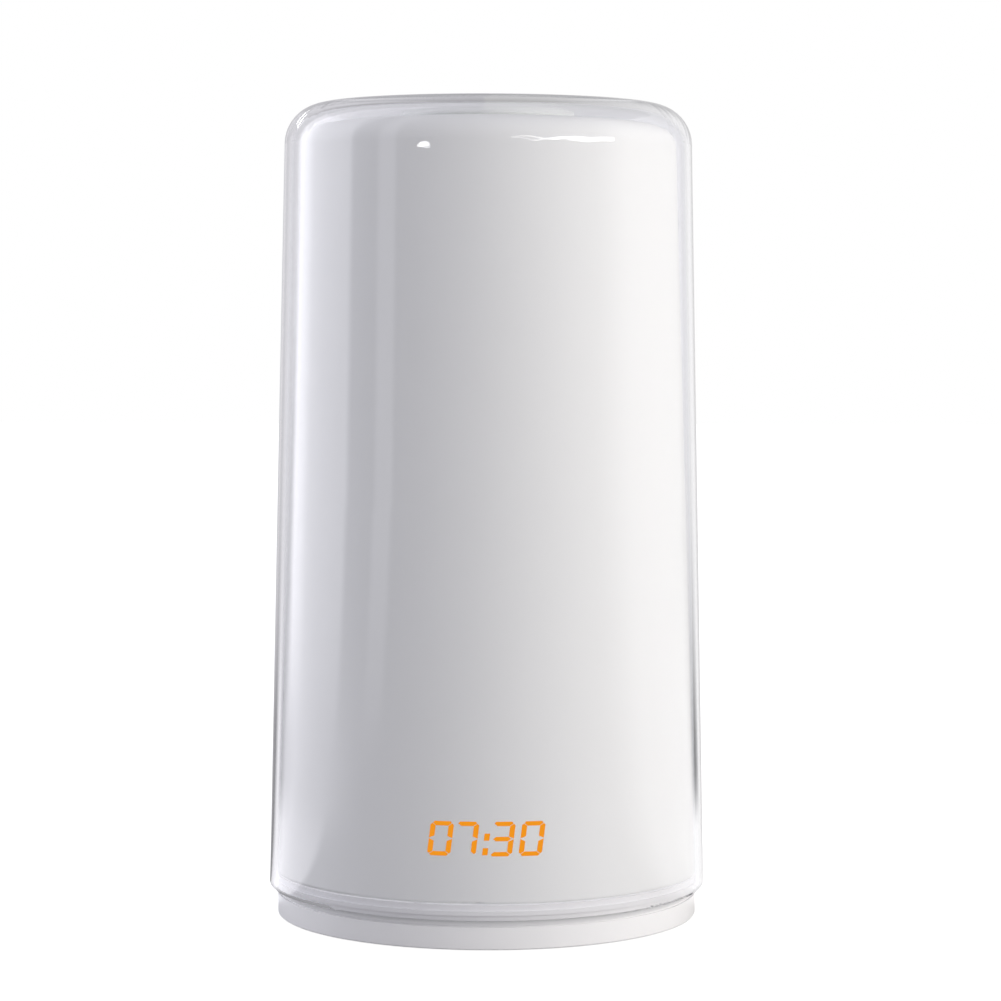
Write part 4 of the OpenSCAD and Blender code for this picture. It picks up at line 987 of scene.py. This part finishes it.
from_edge = add(tree, "ShaderNodeCombineXYZ", {
    "X": across.outputs[0], "Y": back.outputs[0], "Z": -BELOW,
})
carried_on = add(tree, "ShaderNodeEmission", {
    "Color": surroundings(tree, from_edge.outputs["Vector"], ray), "Strength": 1,
})
lit_paper = add(tree, "ShaderNodeAddShader", {
    0: add(tree, "ShaderNodeEmission", {
        "Color": (0.9, 0.9, 0.9, 1), "Strength": ray.outputs["Is Camera Ray"],
    }).outputs[0],
    1: add(tree, "ShaderNodeBsdfDiffuse", {"Color": linear("9C9C9C")}).outputs[0],
})
both = add(tree, "ShaderNodeMixShader", {
    0: in_mirrors(tree, ray), 1: lit_paper.outputs[0], 2: carried_on.outputs[0],
})
add(tree, "ShaderNodeOutputMaterial", {"Surface": both.outputs[0]})
floor.data.materials.append(paper_floor)
print("floor:", [round(v, 2) for v in floor.dimensions])

# %% [markdown]
# ## Lamps
# One large softbox on the right, a little in front, shapes the round body from bright to
# grey, and a weaker one on the left, behind, lifts its far edge. Both are hidden from
# reflections, because the surroundings above already give the cover its gloss. A few thin
# strips of light do the reverse: they are far too small to light anything, and only draw short
# highlights on the cover's shoulder and just below it. Those below it are placed by the mirror
# law, where the cover throws the line of sight.

# %% Hang the softboxes
BODY_MIDDLE = (0, 0, 0.11)


def softbox(name, place, size, power, hex_value):
    """An area lamp that faces the middle of the body and is hidden from reflections."""
    bpy.ops.object.select_all(action="DESELECT")
    bpy.ops.object.light_add(type="AREA", location=place)
    lamp = bpy.context.object
    lamp.name = name
    lamp.data.shape = "RECTANGLE"
    lamp.data.size, lamp.data.size_y = size
    lamp.data.energy = power
    lamp.data.color = linear(hex_value)[:3]
    aim = Vector(BODY_MIDDLE) - Vector(place)
    lamp.rotation_euler = aim.to_track_quat("-Z", "Y").to_euler()
    lamp.visible_glossy = lamp.visible_transmission = False
    print(name, "at", place, "of", power, "W")


softbox("key_softbox", (0.87, -0.39, 0.2), (0.8, 0.7), 8.2, "FFFCF1")
softbox("rim_softbox", (-0.8, 0.46, 0.25), (0.5, 0.7), 4.8, "F7F9FF")

# %% Hang the strips
SHOULDER = (0, 0, 0.21)
COVER_RADIUS, COVER_FOOT, COVER_SLOPE = 0.06, 0.008, 0.0211


def strip_light(name, start, end, width, brightness, shape="ELLIPSE"):
    """A thin lamp between two points, as bright as a white surface times brightness."""
    start, end, shoulder = Vector(start), Vector(end), Vector(SHOULDER)
    middle, along = (start + end) / 2, end - start
    bpy.ops.object.select_all(action="DESELECT")
    bpy.ops.object.light_add(type="AREA", location=middle)
    lamp = bpy.context.object
    lamp.name = name
    lamp.data.shape = shape
    lamp.data.size, lamp.data.size_y = along.length, width
    area = lamp.data.size * lamp.data.size_y * (math.pi / 4 if shape == "ELLIPSE" else 1)
    lamp.data.energy = brightness * math.pi * area
    away = (middle - shoulder).normalized()
    across = away.cross(along.normalized()).normalized()
    turn = Matrix((across.cross(away), across, away)).transposed()
    lamp.rotation_euler = turn.to_euler()


def thrown(x, z, distance):
    """Where the line of sight to a point on the front of the cover goes after its reflection."""
    radius = COVER_RADIUS - COVER_SLOPE * (z - COVER_FOOT)
    point = Vector((x, -math.sqrt(radius ** 2 - x ** 2), z))
    normal = Vector((point.x, point.y, COVER_SLOPE * radius)).normalized()
    return point + distance * (point - camera.location).normalized().reflect(normal)


SPOT_AWAY, STREAK_AWAY, STREAK_HEIGHT, STREAK_LIGHT = 0.5, 0.6, 0.2106, 9
spot_ends = thrown(-0.0184, 0.2085, SPOT_AWAY), thrown(-0.0151, 0.2088, SPOT_AWAY)
strip_light("spot_strip", *spot_ends, 0.0022, 14)
# where the streak's pieces start on the cover, from its middle, and how wide their lamps are
streak = [(0.0060, 0.0003), (0.0115, 0.0006), (0.0165, 0.0009), (0.0215, 0.0013),
          (0.0265, 0.0016), (0.0312, 0.0016), (0.0328, 0.0009)]
for (x0, width), (x1, _) in zip(streak, streak[1:]):
    ends = thrown(x0, STREAK_HEIGHT, STREAK_AWAY), thrown(x1, STREAK_HEIGHT, STREAK_AWAY)
    strip_light(f"streak_{x0 * 1000:.0f}", *ends, width, STREAK_LIGHT, "RECTANGLE")
strip_light("edge_strip", (-0.52, 0.8, 0.46), (-0.34, 0.87, 0.56), 0.018, 5)
